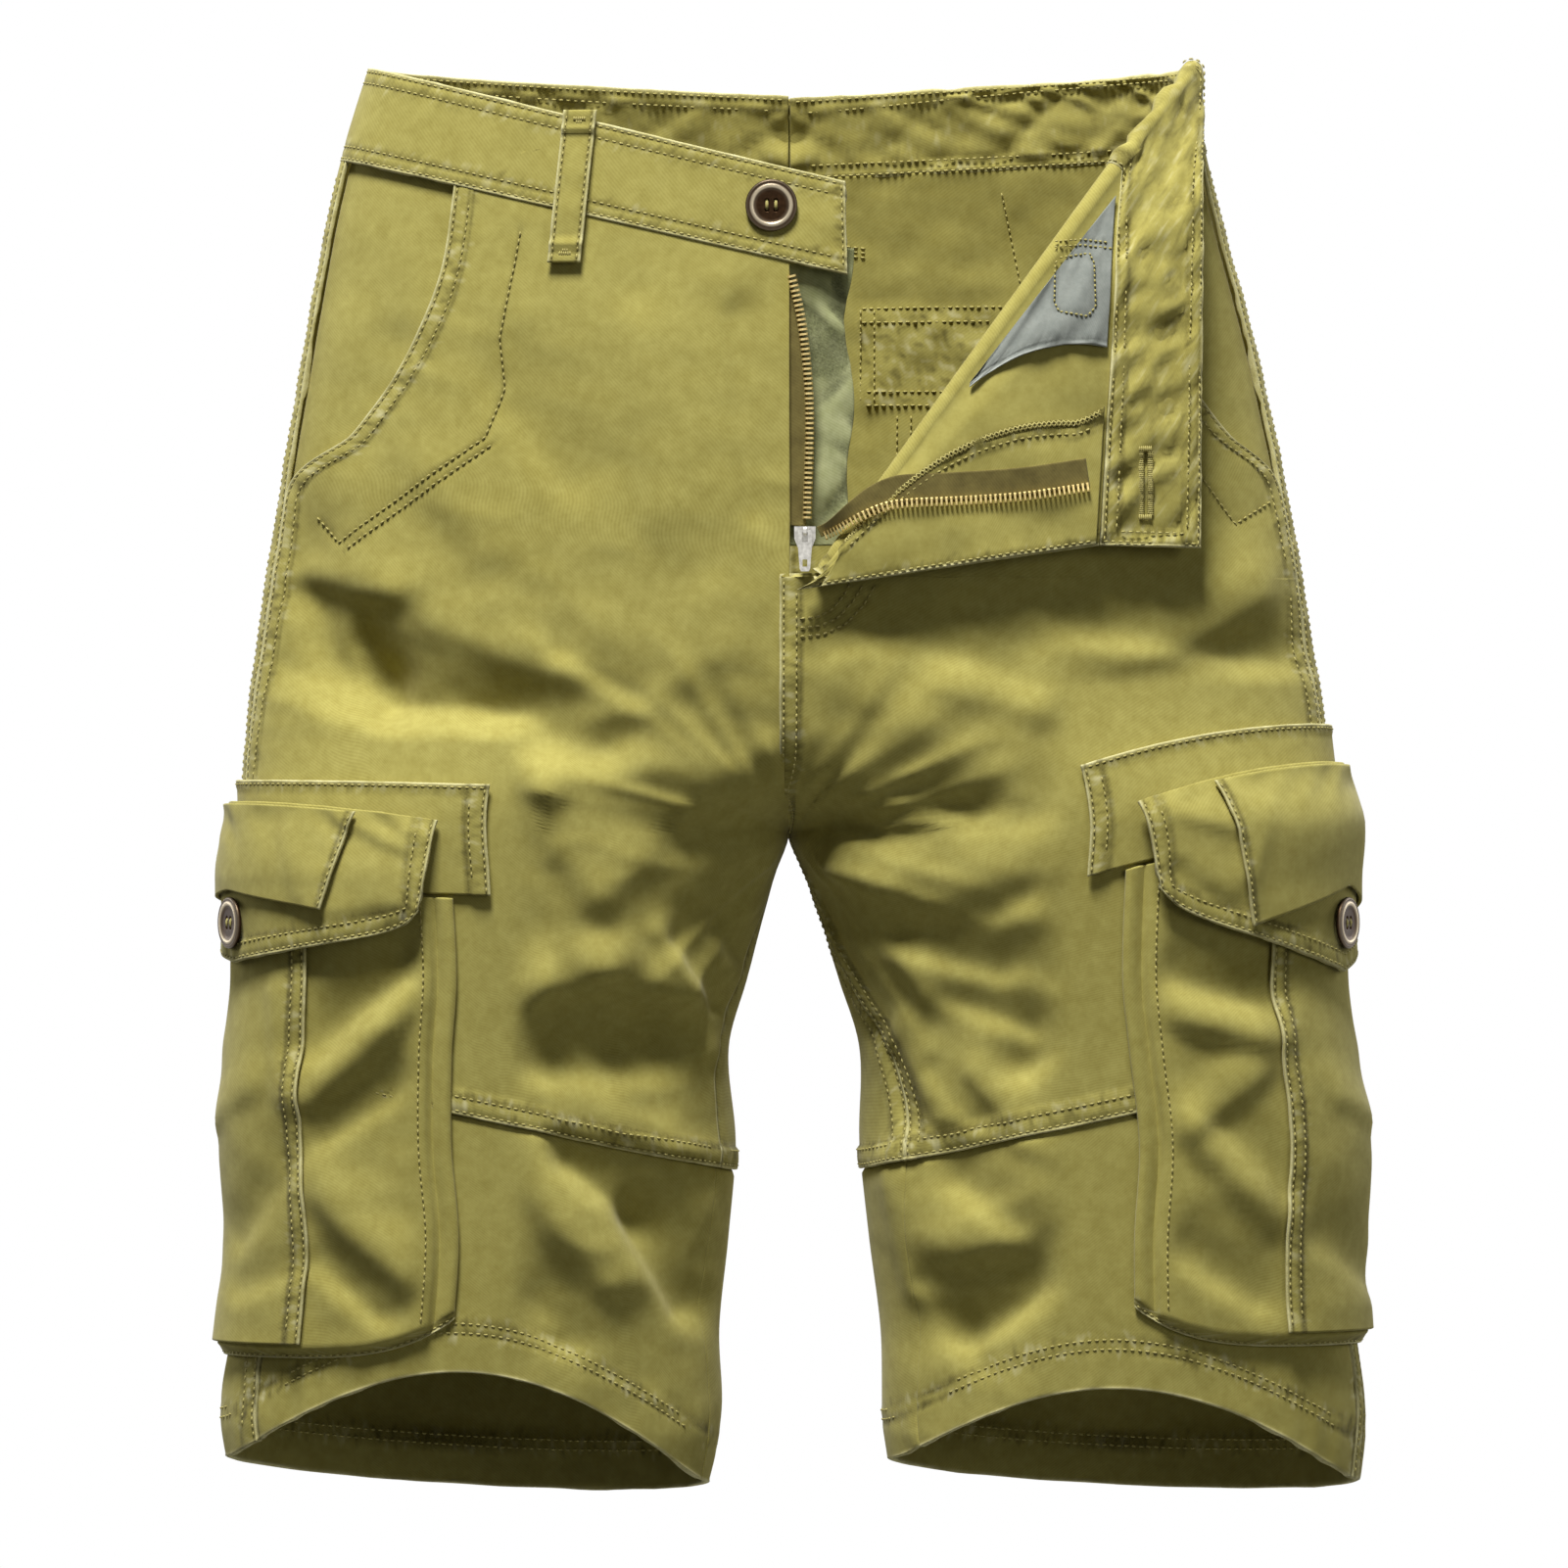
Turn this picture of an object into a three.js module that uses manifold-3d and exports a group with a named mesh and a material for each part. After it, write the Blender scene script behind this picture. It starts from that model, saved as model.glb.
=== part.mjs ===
// Men's cargo shorts in washed cotton twill, filled out as if worn, with the fly open and the left front turned back.
// Millimetres. +X is the wearer's left, -Y the front, +Z up. The origin is the centre of the waist, level with
// the top of the waistband at the sides.

import * as THREE from "three";
import { mergeVertices } from "three/addons/utils/BufferGeometryUtils.js";
import Module from "manifold-3d";

// Thicknesses and gaps
const CLOTH = 1.5; // one layer of twill, as a wall
const DOUBLED = 2.2; // a folded and topstitched piece: waistband, flap, tab
const BAND_PROUD = 0.7; // the waistband's outer face stands over the panels
const GAP = 0.3; // between neighbouring pieces
const HALF_GAP = GAP / 2;
const LAYER_GAP = 0.8; // between layers on a curved panel, whose facets leave at least 0.3 of it

// Heights down the garment
const FORK_TOP = -200; // where the centre seams start to curve under the body
const CROTCH = -328;
const FORK_CURVE = 2.2;
const FLY_BOTTOM = -219;
const KNEE_AT_SIDE = -426; // knee seam, at the widest point of the leg
const KNEE_SLOPE = 0.22; // the knee seam drops towards the inseam
const HEM = -600.5; // at the sides of a leg, halfway between its outer and inner edge
const BACK_HEM_SAG = 10;
const HEM_DEPTH = 24;
const HEM_CURVE = 2.5;

// Waistband: how far its edges drop from the side to the centre
const BAND_FRONT_DROP = 46;
const BAND_BACK_DROP = 8;
const BAND_OVERLAP_ANGLE = 97; // the button end runs past the centre front, at 90 degrees

// Each side of the shorts, measured outwards from the centre plane. seam and twist are angles in degrees: how far
// the side seam has turned to the front, and the inseam towards the front.
const RIGHT = {
  sign: -1,
  bandTop: 0,
  bandSeam: -40,
  hemArch: 44,
  hemTilt: 5.5,
  cargo: { flapTop: -314, flapDroop: 8, flapEnds: 46, flapPoint: -383, patchTop: -305, patchDroop: 2,
    tabCorner: -360, tabMiddle: -352, button: -366, bottom: -546 },
  sections: [
    { z: 0, outer: 180, inner: 0, front: 62, back: 62, seam: 10, twist: 0 },
    { z: -40, outer: 192, inner: 0, front: 65, back: 68, seam: 10, twist: 0 },
    { z: -75, outer: 200, inner: 0, front: 68, back: 74, seam: 10, twist: 0 },
    { z: -120, outer: 208, inner: 0, front: 71, back: 79, seam: 10, twist: 0 },
    { z: -185, outer: 219, inner: 0, front: 73, back: 83, seam: 10, twist: 0 },
    { z: -245, outer: 228, inner: 0, front: 73, back: 84, seam: 10, twist: 0 },
    { z: -300, outer: 234, inner: 0, front: 72, back: 81, seam: 10, twist: 0 },
    { z: -328, outer: 234, inner: 0, front: 71, back: 77, seam: 11, twist: 0 },
    { z: -345, outer: 233, inner: 6, front: 70, back: 74, seam: 12, twist: 4 },
    { z: -390, outer: 232, inner: 18, front: 67, back: 68, seam: 14, twist: 14 },
    { z: -420, outer: 235, inner: 26, front: 65, back: 65, seam: 16, twist: 20 },
    { z: -460, outer: 237, inner: 23, front: 63, back: 62, seam: 20, twist: 22 },
    { z: -500, outer: 235, inner: 26, front: 61, back: 60, seam: 25, twist: 22 },
    { z: -540, outer: 239, inner: 30, front: 59, back: 58, seam: 30, twist: 20 },
    { z: -575, outer: 244, inner: 29, front: 57, back: 56, seam: 32, twist: 18 },
    { z: -609, outer: 239, inner: 35, front: 56, back: 55, seam: 32, twist: 16 },
  ],
};
const LEFT = {
  sign: 1,
  bandTop: -1,
  bandSeam: -37,
  hemArch: 37,
  hemTilt: -4.7,
  cargo: { flapTop: -297, flapDroop: 17, flapEnds: 44, flapPoint: -387, patchTop: -281, patchDroop: 18,
    tabCorner: -367, tabMiddle: -350, button: -366, bottom: -541 },
  sections: [
    { z: 0, outer: 171, inner: 0, front: 62, back: 62, seam: 10, twist: 0 },
    { z: -40, outer: 179, inner: 0, front: 65, back: 68, seam: 10, twist: 0 },
    { z: -75, outer: 188, inner: 0, front: 68, back: 74, seam: 10, twist: 0 },
    { z: -120, outer: 200, inner: 0, front: 71, back: 79, seam: 10, twist: 0 },
    { z: -185, outer: 214, inner: 0, front: 73, back: 83, seam: 10, twist: 0 },
    { z: -245, outer: 224, inner: 0, front: 73, back: 84, seam: 10, twist: 0 },
    { z: -300, outer: 232, inner: 0, front: 72, back: 81, seam: 10, twist: 0 },
    { z: -328, outer: 233, inner: 0, front: 71, back: 77, seam: 10, twist: 0 },
    { z: -345, outer: 232, inner: 7, front: 70, back: 74, seam: 10, twist: 4 },
    { z: -390, outer: 232, inner: 21, front: 67, back: 68, seam: 11, twist: 16 },
    { z: -420, outer: 236, inner: 30, front: 65, back: 65, seam: 12, twist: 28 },
    { z: -460, outer: 242, inner: 30, front: 63, back: 62, seam: 13, twist: 36 },
    { z: -500, outer: 241, inner: 34, front: 61, back: 60, seam: 14, twist: 34 },
    { z: -540, outer: 243, inner: 39, front: 59, back: 58, seam: 15, twist: 32 },
    { z: -575, outer: 247, inner: 40, front: 57, back: 56, seam: 16, twist: 31 },
    { z: -609, outer: 244, inner: 44, front: 56, back: 55, seam: 17, twist: 31 },
  ],
};

// The largest folds: soft ridges (rise over 0) and troughs along straight lines, by distance from the centre plane
RIGHT.frontFolds = [
  { x1: 181, z1: -236, x2: 141, z2: -258, width: 13, rise: -5 },
  { x1: 165, z1: -266, x2: 86, z2: -288, width: 13, rise: -7 },
  { x1: 136, z1: -292, x2: 92, z2: -340, width: 15, rise: 6 },
  { x1: 83, z1: -330, x2: 54, z2: -303, width: 12, rise: -6 },
  { x1: 54, z1: -303, x2: 22, z2: -280, width: 12, rise: -6 },
  { x1: 48, z1: -318, x2: 78, z2: -362, width: 15, rise: 6 },
  { x1: 119, z1: -310, x2: 113, z2: -350, width: 9, rise: -4 },
  { x1: 108, z1: -408, x2: 52, z2: -412, width: 17, rise: -8 },
  { x1: 47, z1: -378, x2: 26, z2: -416, width: 10, rise: -5 },
  { x1: 94, z1: -460, x2: 58, z2: -494, width: 9, rise: -6 },
  { x1: 58, z1: -494, x2: 45, z2: -522, width: 9, rise: -7 },
  { x1: 116, z1: -468, x2: 78, z2: -516, width: 13, rise: 6 },
  { x1: 142, z1: -474, x2: 112, z2: -520, width: 12, rise: -5 },
];
RIGHT.backFolds = [
  { x1: 150, z1: -298, x2: 84, z2: -310, width: 14, rise: -6 },
  { x1: 56, z1: -290, x2: 34, z2: -318, width: 13, rise: -5 },
  { x1: 92, z1: -330, x2: 118, z2: -372, width: 16, rise: 6 },
  { x1: 56, z1: -392, x2: 118, z2: -404, width: 15, rise: -7 },
  { x1: 70, z1: -470, x2: 118, z2: -512, width: 12, rise: -6 },
  { x1: 112, z1: -462, x2: 150, z2: -500, width: 13, rise: 5 },
];
LEFT.frontFolds = [
  { x1: 200, z1: -270, x2: 145, z2: -292, width: 12, rise: -5 },
  { x1: 145, z1: -292, x2: 100, z2: -336, width: 12, rise: -7 },
  { x1: 30, z1: -284, x2: 76, z2: -300, width: 14, rise: -5 },
  { x1: 46, z1: -360, x2: 122, z2: -334, width: 12, rise: 7 },
  { x1: 50, z1: -374, x2: 84, z2: -384, width: 9, rise: -7 },
  { x1: 40, z1: -396, x2: 66, z2: -396, width: 9, rise: 5 },
  { x1: 63, z1: -414, x2: 96, z2: -402, width: 9, rise: -4 },
  { x1: 94, z1: -434, x2: 132, z2: -404, width: 11, rise: -7 },
  { x1: 72, z1: -474, x2: 94, z2: -488, width: 9, rise: -5 },
  { x1: 72, z1: -500, x2: 118, z2: -484, width: 13, rise: 5 },
  { x1: 76, z1: -536, x2: 136, z2: -500, width: 11, rise: -7 },
];
LEFT.backFolds = [
  { x1: 150, z1: -296, x2: 96, z2: -312, width: 14, rise: -6 },
  { x1: 34, z1: -290, x2: 62, z2: -312, width: 13, rise: -5 },
  { x1: 60, z1: -330, x2: 120, z2: -362, width: 16, rise: 6 },
  { x1: 62, z1: -404, x2: 126, z2: -390, width: 15, rise: -7 },
  { x1: 66, z1: -508, x2: 120, z2: -474, width: 12, rise: -6 },
];
const FOLD_FADE = 0.45; // folds die out where the surface turns to the side
const HELD_FLAT_X = 100; // and beyond here the cargo pocket's stitching holds the cloth flat

// The slanted hand pocket's open edge, from the waist seam to the side seam
const HAND_POCKET = [
  { z: -50, x: 142 },
  { z: -92, x: 149 },
  { z: -126, x: 164 },
  { z: -149, x: 180 },
  { z: -168, x: 196 },
  { z: -185, x: 211 },
];

// The turned-back left front: it folds out along a line from the waist at the side to the foot of the fly.
const FOLD_TOP = { x: 170, z: -1 };
const FOLD_FOOT = { x: 14, z: FLY_BOTTOM };
const FOLD_RADIUS = 3;
const BAND_END = { inner: { x: 131, z: -206 }, outer: { x: 174, z: -207 } }; // buttonhole end of the waistband
const FLY_EDGE_FOOT = { x: 3, z: FLY_BOTTOM - 6 };
const LAPEL_STAND = 8; // how far the turned-back cloth stands off the front
const LAPEL_WIDER = 25; // it bends round the body less than the front does
const LAPEL_SETTLE = 0.3; // share of its width over which it comes down from the fold
const BAND_TURNED = 200; // length of the waistband's turned-back part

const SIDES = [
  ["right", RIGHT],
  ["left", LEFT],
];

// Cargo pockets, in distances along the surface from a line a little in front of the side
const CARGO = {
  middle: 21,
  half: 91,
  footHalf: 97,
  footLift: 1.7,
  stand: 3.8, // how far the pocket's inside clears the leg
  patchHalf: 118,
  patchDepth: 47,
  stripHalf: 38,
  flapHalf: 98,
  flapFoot: 89,
  tabHalf: 64,
  tabFoot: 50,
  cornerRound: 7, // the flap's lower corners and the pocket's foot round off by these
  footRound: 10,
};
const BAG_STITCHING = [
  { z: -50, x: 114 },
  { z: -118, x: 123 },
  { z: -139, x: 121 },
  { z: -160, x: 129 },
  { z: -202, x: 190 },
];
const SLIDER = { x: 6.5, z: -200 }; // the pull tab's axis on the zip slider
const ON_LAPEL = CLOTH + 1.9; // the outer face of a thin piece that lies on the turned-back front
const BUTTON = 22;
const LOOP_BULGE = 1.8;

const radians = (degrees) => (degrees * Math.PI) / 180;
const limit = (t, low = 0, high = 1) => Math.min(high, Math.max(low, t));
const mix = (a, b, t) => a + (b - a) * t;
const between = (a, b, t) => ({ x: mix(a.x, b.x, t), z: mix(a.z, b.z, t) });
const ease = (t) => limit(t) ** 2 * (3 - 2 * limit(t));

// A column of a table of rows at falling heights, as a smooth curve through its values
function column(rows, name, z) {
  const last = rows.length - 1;
  const at = limit(z, rows[last].z, rows[0].z);
  let i = 0;
  while (i < last - 1 && at < rows[i + 1].z) i++;
  const slope = (k) => {
    const [a, b] = [Math.max(k - 1, 0), Math.min(k + 1, last)];
    return (rows[b][name] - rows[a][name]) / (rows[b].z - rows[a].z);
  };
  const step = rows[i + 1].z - rows[i].z;
  const t = (at - rows[i].z) / step;
  return (
    rows[i][name] * (1 + 2 * t) * (1 - t) ** 2 +
    slope(i) * step * t * (1 - t) ** 2 +
    rows[i + 1][name] * t * t * (3 - 2 * t) +
    slope(i + 1) * step * t * t * (t - 1)
  );
}

// The outline of one side at a height: an ellipse arc from the side, at angle 0, round the front to the angle end,
// and the same round the back. Above the crotch it ends at the centre plane, and below it the leg is closed.
function section(side, z) {
  const rows = side.sections;
  const outer = column(rows, "outer", z);
  const inner = Math.max(HALF_GAP, z > CROTCH ? 0 : column(rows, "inner", z));
  const end = (Math.PI / 2) * (1 + limit((FORK_TOP - z) / (FORK_TOP - CROTCH)) ** FORK_CURVE);
  const half = (outer - inner) / (1 - Math.cos(end));
  return {
    half,
    middle: outer - half,
    front: column(rows, "front", z),
    back: column(rows, "back", z),
    end,
    seam: radians(column(rows, "seam", z)),
    inseam: end - radians(z > CROTCH ? 0 : column(rows, "twist", z)),
  };
}

function foldHeight(folds, x, z) {
  let height = 0;
  for (const fold of folds) {
    const [dx, dz] = [fold.x2 - fold.x1, fold.z2 - fold.z1];
    const t = limit(((x - fold.x1) * dx + (z - fold.z1) * dz) / (dx * dx + dz * dz));
    const away = Math.hypot(x - fold.x1 - t * dx, z - fold.z1 - t * dz);
    height += fold.rise * Math.exp(-((away / fold.width) ** 2));
  }
  return height;
}

// A point of the outer face at an angle and a height, moved out by lift
function skin(side, angle, z, lift = 0) {
  const s = section(side, z);
  const [across, towards] = [Math.cos(angle), Math.sin(angle)];
  const depth = towards > 0 ? s.front : s.back;
  const x = s.middle + s.half * across;
  const folds = towards > 0 ? side.frontFolds : side.backFolds;
  const held = ease((x - HELD_FLAT_X) / 20) * ease((side.cargo.patchTop + 32 - z) / 16);
  const out = lift + foldHeight(folds, x, z) * ease(Math.abs(towards) / FOLD_FADE) * (1 - held);
  const length = Math.hypot(depth * across, s.half * towards);
  return new THREE.Vector3(
    side.sign * (x + (out * depth * across) / length),
    -depth * towards - (out * s.half * towards) / length,
    z,
  );
}

// A point of a panel's outer face, with the normal there, so that panels that meet keep their gap through the wall
function panel(side, angle, z) {
  const [turn, rise] = [0.01, 1];
  const round = skin(side, angle + turn, z).sub(skin(side, angle - turn, z));
  const up = skin(side, angle, z + rise).sub(skin(side, angle, z - rise));
  const point = skin(side, angle, z);
  point.normal = round.cross(up).multiplyScalar(-side.sign).normalize();
  return point;
}

function angleAtX(side, x, z) {
  const s = section(side, z);
  return Math.acos(limit((x - s.middle) / s.half, -1, 1));
}

// The angle at a distance along the surface from the side line, over 0 towards the front
function angleAtArc(side, arc, z) {
  const s = section(side, z);
  const depth = arc > 0 ? s.front : s.back;
  const step = radians(1);
  let angle = 0;
  let left = Math.abs(arc);
  while (left > 0) {
    const middle = angle + step / 2;
    const length = Math.hypot(s.half * Math.sin(middle), depth * Math.cos(middle)) * step;
    angle += step * Math.min(1, left / length);
    left -= length;
  }
  return Math.sign(arc) * angle;
}

const onArc = (side, arc, z, lift) => skin(side, angleAtArc(side, arc, z), z, lift);
const onBack = (side, x, z, lift) => skin(side, -angleAtX(side, x, z), z, lift);

// Heights of the cross seams at an angle
function bandEdge(side, angle, atTop) {
  const drop = Math.sin(angle) > 0 ? BAND_FRONT_DROP : BAND_BACK_DROP;
  return (atTop ? side.bandTop : side.bandSeam) - drop * (1 - Math.cos(angle));
}

function kneeSeam(side, angle) {
  const s = section(side, KNEE_AT_SIDE);
  return KNEE_AT_SIDE - KNEE_SLOPE * s.half * (1 - Math.cos(angle));
}

function hemEdge(side, angle) {
  const towards = Math.sin(angle);
  const level = HEM + side.hemTilt * Math.cos(angle);
  if (towards < 0) return level + BACK_HEM_SAG * towards;
  return level + side.hemArch * towards ** HEM_CURVE;
}

// The height where a line that runs down a panel at share u of its width crosses an edge: the panel's own limits
// depend on the height, so it is found in a few steps
function crossing(side, from, to, u, edge) {
  let z = edge(side, 0);
  for (let i = 0; i < 6; i++) {
    const s = section(side, z);
    z = edge(side, mix(from(s, z), to(s, z), u));
  }
  return z;
}

const sideSeam = (s) => s.seam;
const frontInseam = (s) => s.inseam;
const backInseam = (s, z) => (z > CROTCH ? -s.end : s.inseam - 2 * Math.PI);

// A grid of points: at(u, v) with u from 0 to 1 along each row and v from 0 to 1 over the rows
function grid(columns, rows, at) {
  return Array.from({ length: rows + 1 }, (_, j) =>
    Array.from({ length: columns + 1 }, (_, i) => at(i / columns, j / rows)),
  );
}

// A closed wall on a sheet of one or more grids. Grids that hold the same point objects are joined there. The
// sheet is the wall's outer face, raised by proud, and flip turns its normals round. A point may hold a normal and
// a thickness of its own.
function wall(grids, { thickness = CLOTH, proud = 0, flip = false } = {}) {
  const index = new Map();
  const points = [];
  const number = (p) => {
    if (!index.has(p)) {
      index.set(p, points.length);
      points.push(p);
    }
    return index.get(p);
  };
  const triangles = [];
  for (const rows of grids)
    for (let j = 0; j + 1 < rows.length; j++)
      for (let i = 0; i + 1 < rows[j].length; i++) {
        const [a, b, c, d] = [rows[j][i], rows[j][i + 1], rows[j + 1][i + 1], rows[j + 1][i]].map(number);
        triangles.push(...(flip ? [[a, d, c], [a, c, b]] : [[a, b, c], [a, c, d]]));
      }
  const normals = points.map(() => new THREE.Vector3());
  for (const [a, b, c] of triangles) {
    const ab = points[b].clone().sub(points[a]);
    const face = ab.cross(points[c].clone().sub(points[a]));
    for (const k of [a, b, c]) normals[k].add(face);
  }
  const position = [];
  for (const depth of [0, 1])
    points.forEach((p, k) => {
      const normal = p.normal ?? normals[k].normalize();
      const moved = p.clone().addScaledVector(normal, proud - depth * (p.thickness ?? thickness));
      position.push(moved.x, moved.y, moved.z);
    });
  const under = points.length;
  const faces = [];
  const edges = new Set();
  for (const [a, b, c] of triangles) {
    faces.push(a, b, c, under + a, under + c, under + b);
    for (const [p, q] of [[a, b], [b, c], [c, a]]) edges.add(p * under + q);
  }
  for (const edge of edges) {
    const [p, q] = [Math.floor(edge / under), edge % under];
    if (!edges.has(q * under + p)) faces.push(q, p, under + p, q, under + p, under + q);
  }
  return new THREE.BufferGeometry()
    .setAttribute("position", new THREE.Float32BufferAttribute(position, 3))
    .setIndex(faces);
}

// Finishes
const TWILL = new THREE.MeshStandardMaterial({ color: 0xa59a55, roughness: 0.92, metalness: 0 });
const SHIELD_CLOTH = new THREE.MeshStandardMaterial({ color: 0x8f9670, roughness: 0.85, metalness: 0 });
const POCKETING = new THREE.MeshStandardMaterial({ color: 0x858780, roughness: 0.9, metalness: 0 });
const TAPE = new THREE.MeshStandardMaterial({ color: 0x6d5f2c, roughness: 0.9, metalness: 0 });
const NICKEL = new THREE.MeshStandardMaterial({ color: 0xcfccc4, roughness: 0.3, metalness: 1 });
const ANTIQUE_BRASS = new THREE.MeshStandardMaterial({ color: 0x3b2d22, roughness: 0.45, metalness: 0.8 });

const manifold = await Module();
manifold.setup();
const shorts = new THREE.Group();

function add(name, geometry, material) {
  const mesh = new THREE.Mesh(geometry, material);
  mesh.name = name;
  shorts.add(mesh);
  return mesh;
}

// Where a front panel starts: at the hand pocket's edge, and below the pocket at the side seam
function frontStart(side, z) {
  const last = HAND_POCKET[HAND_POCKET.length - 1].z;
  const seam = section(side, z).seam;
  return z < last ? seam : Math.max(seam, angleAtX(side, column(HAND_POCKET, "x", z), z));
}

// A share of a panel's width, with half a gap left at each end
const SEAM_SHARE = 0.002;
const trim = (t, share = SEAM_SHARE) => mix(share, 1 - share, t);

function frontRight() {
  const start = angleAtX(RIGHT, HAND_POCKET[0].x, HAND_POCKET[0].z);
  return grid(17, 18, (u, v) => {
    const top = bandEdge(RIGHT, mix(start, Math.PI / 2, u), false) - HALF_GAP;
    const bottom = crossing(RIGHT, sideSeam, frontInseam, u, kneeSeam) + HALF_GAP;
    const z = mix(top, bottom, v);
    return panel(RIGHT, mix(frontStart(RIGHT, z), section(RIGHT, z).inseam, trim(u)), z);
  });
}

function back(side) {
  return grid(14, 15, (u, v) => {
    const top = bandEdge(side, mix(sideSeam(section(side, 0)), -Math.PI / 2, u), false) - HALF_GAP;
    const z = mix(top, crossing(side, sideSeam, backInseam, u, kneeSeam) + HALF_GAP, v);
    const s = section(side, z);
    return panel(side, mix(s.seam, backInseam(s, z), trim(u)), z);
  });
}

// The lower part of a leg, from the knee seam to the hem. Its turned-up hem makes it twice as thick.
function lower(side, inseam) {
  const rows = 5;
  const hemStart = 0.5;
  return grid(11, rows + 3, (u, v) => {
    const top = crossing(side, sideSeam, inseam, u, kneeSeam) - HALF_GAP;
    const edge = crossing(side, sideSeam, inseam, u, hemEdge);
    const j = Math.round(v * (rows + 3));
    const turned = edge + HEM_DEPTH;
    let z = mix(top, turned + hemStart, j / rows);
    if (j > rows) z = mix(turned, edge, (j - rows - 1) / 2);
    const s = section(side, z);
    const point = panel(side, mix(s.seam, inseam(s, z), trim(u)), z);
    if (j > rows) point.thickness = 2 * CLOTH;
    return point;
  });
}

// The fold line of the turned-back front at a height: its point, the way out of the body, and the way onwards
function foldLine(z) {
  const point = (height) => {
    const t = (height - FOLD_TOP.z) / (FOLD_FOOT.z - FOLD_TOP.z);
    return skin(LEFT, angleAtX(LEFT, mix(FOLD_TOP.x, FOLD_FOOT.x, t), height), height);
  };
  const step = 2;
  const p = point(z);
  const s = section(LEFT, z);
  const angle = angleAtX(LEFT, p.x, z);
  const along = point(z - step).sub(point(z + step)).normalize();
  const out = new THREE.Vector3(s.front * Math.cos(angle), -s.half * Math.sin(angle), 0);
  out.addScaledVector(along, -out.dot(along)).normalize();
  return { p, out, onwards: along.clone().cross(out).normalize() };
}

// Points round the half-turn of the fold, and at the end of it
function turn(z, share) {
  const { p, out, onwards } = foldLine(z);
  const angle = Math.PI * share;
  return p
    .clone()
    .addScaledVector(onwards, FOLD_RADIUS * Math.sin(angle))
    .addScaledVector(out, FOLD_RADIUS * (1 - Math.cos(angle)));
}

function lapelDepth(x, z) {
  const rows = LEFT.sections;
  const outer = column(rows, "outer", z) + LAPEL_WIDER;
  return column(rows, "front", z) * Math.sqrt(1 - (x / outer) ** 2) + LAPEL_STAND;
}

// A point on the turned-back cloth between the fold, where it starts at height z, and an edge point
function overLapel(z, edge, share, lift = 0) {
  const start = turn(z, 1);
  const at = between({ x: start.x, z: start.z }, edge, share);
  const y = mix(start.y, -lapelDepth(at.x, at.z), ease(share / LAPEL_SETTLE));
  return new THREE.Vector3(at.x, y - lift, at.z);
}

// The turned-back front panel: along runs from the waist seam to the foot of the fly, across from fold to fly edge
const LAPEL_TOP = LEFT.bandSeam - BAND_FRONT_DROP * 0.21;
const lapelStart = (along) => mix(LAPEL_TOP, FOLD_FOOT.z, along);
const lapelEdge = (along) => between({ x: BAND_END.inner.x - GAP, z: BAND_END.inner.z }, FLY_EDGE_FOOT, along);
const lapel = (along, across, lift = 0) => overLapel(lapelStart(along), lapelEdge(along), across, lift);

function frontLeft() {
  const [upper, below, columns, bend, across] = [9, 10, 13, 4, 8];
  const rowsAbove = grid(columns, upper, (u, v) => {
    const z = mix(LAPEL_TOP, FOLD_FOOT.z, v);
    return panel(LEFT, mix(frontStart(LEFT, z), angleAtX(LEFT, foldLine(z).p.x, z), trim(u)), z);
  });
  const rowsBelow = grid(columns, below, (u, v) => {
    const z = mix(FOLD_FOOT.z, crossing(LEFT, sideSeam, frontInseam, u, kneeSeam) + HALF_GAP, v);
    const s = section(LEFT, z);
    return panel(LEFT, mix(s.seam, s.inseam, trim(u)), z);
  });
  rowsBelow[0] = rowsAbove[upper];
  const turned = grid(bend + across, upper, (u, v) => {
    const i = Math.round(u * (bend + across));
    if (i <= bend) return turn(lapelStart(v), i / bend);
    return lapel(v, (i - bend) / across);
  });
  turned.forEach((row, j) => (row[0] = rowsAbove[j][columns]));
  return [[...rowsAbove, ...rowsBelow.slice(1)], turned];
}

function bandRight() {
  const [from, to] = [-Math.PI / 2, radians(BAND_OVERLAP_ANGLE)];
  return grid(28, 2, (u, v) => {
    const angle = mix(from + 0.001, to, u);
    const z = mix(bandEdge(RIGHT, angle, false) + HALF_GAP, bandEdge(RIGHT, angle, true), v);
    return skin(RIGHT, angle, z);
  });
}

function bandLeft() {
  const [round, bend, across] = [22, 5, 12];
  const foldHeightAt = (v) => mix(LAPEL_TOP + GAP, FOLD_TOP.z, v);
  return grid(round + bend + across, 2, (u, v) => {
    const i = Math.round(u * (round + bend + across));
    const start = foldHeightAt(v);
    if (i > round + bend) {
      const edge = between(BAND_END.inner, BAND_END.outer, v);
      return overLapel(start, edge, (i - round - bend) / across);
    }
    if (i >= round) return turn(start, (i - round) / bend);
    const angle = mix(-Math.PI / 2 + 0.001, angleAtX(LEFT, foldLine(start).p.x, start), i / round);
    const level = mix(bandEdge(LEFT, angle, false) + HALF_GAP, bandEdge(LEFT, angle, true), v);
    return skin(LEFT, angle, mix(level, start, ease((i / round - 0.8) / 0.2)));
  });
}

// Panels and waistband
add("front_right", wall([frontRight()], { flip: true }), TWILL);
add("front_left", wall(frontLeft()), TWILL);
for (const [name, side] of SIDES) {
  const mirrored = side.sign < 0;
  add(`back_${name}`, wall([back(side)], { flip: !mirrored }), TWILL);
  add(`front_knee_${name}`, wall([lower(side, frontInseam)], { flip: mirrored }), TWILL);
  add(`back_knee_${name}`, wall([lower(side, backInseam)], { flip: !mirrored }), TWILL);
}
const band = { thickness: DOUBLED, proud: BAND_PROUD };
add("waistband_right", wall([bandRight()], band), TWILL);
add("waistband_left", wall([bandLeft()], { ...band, flip: true }), TWILL);

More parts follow.
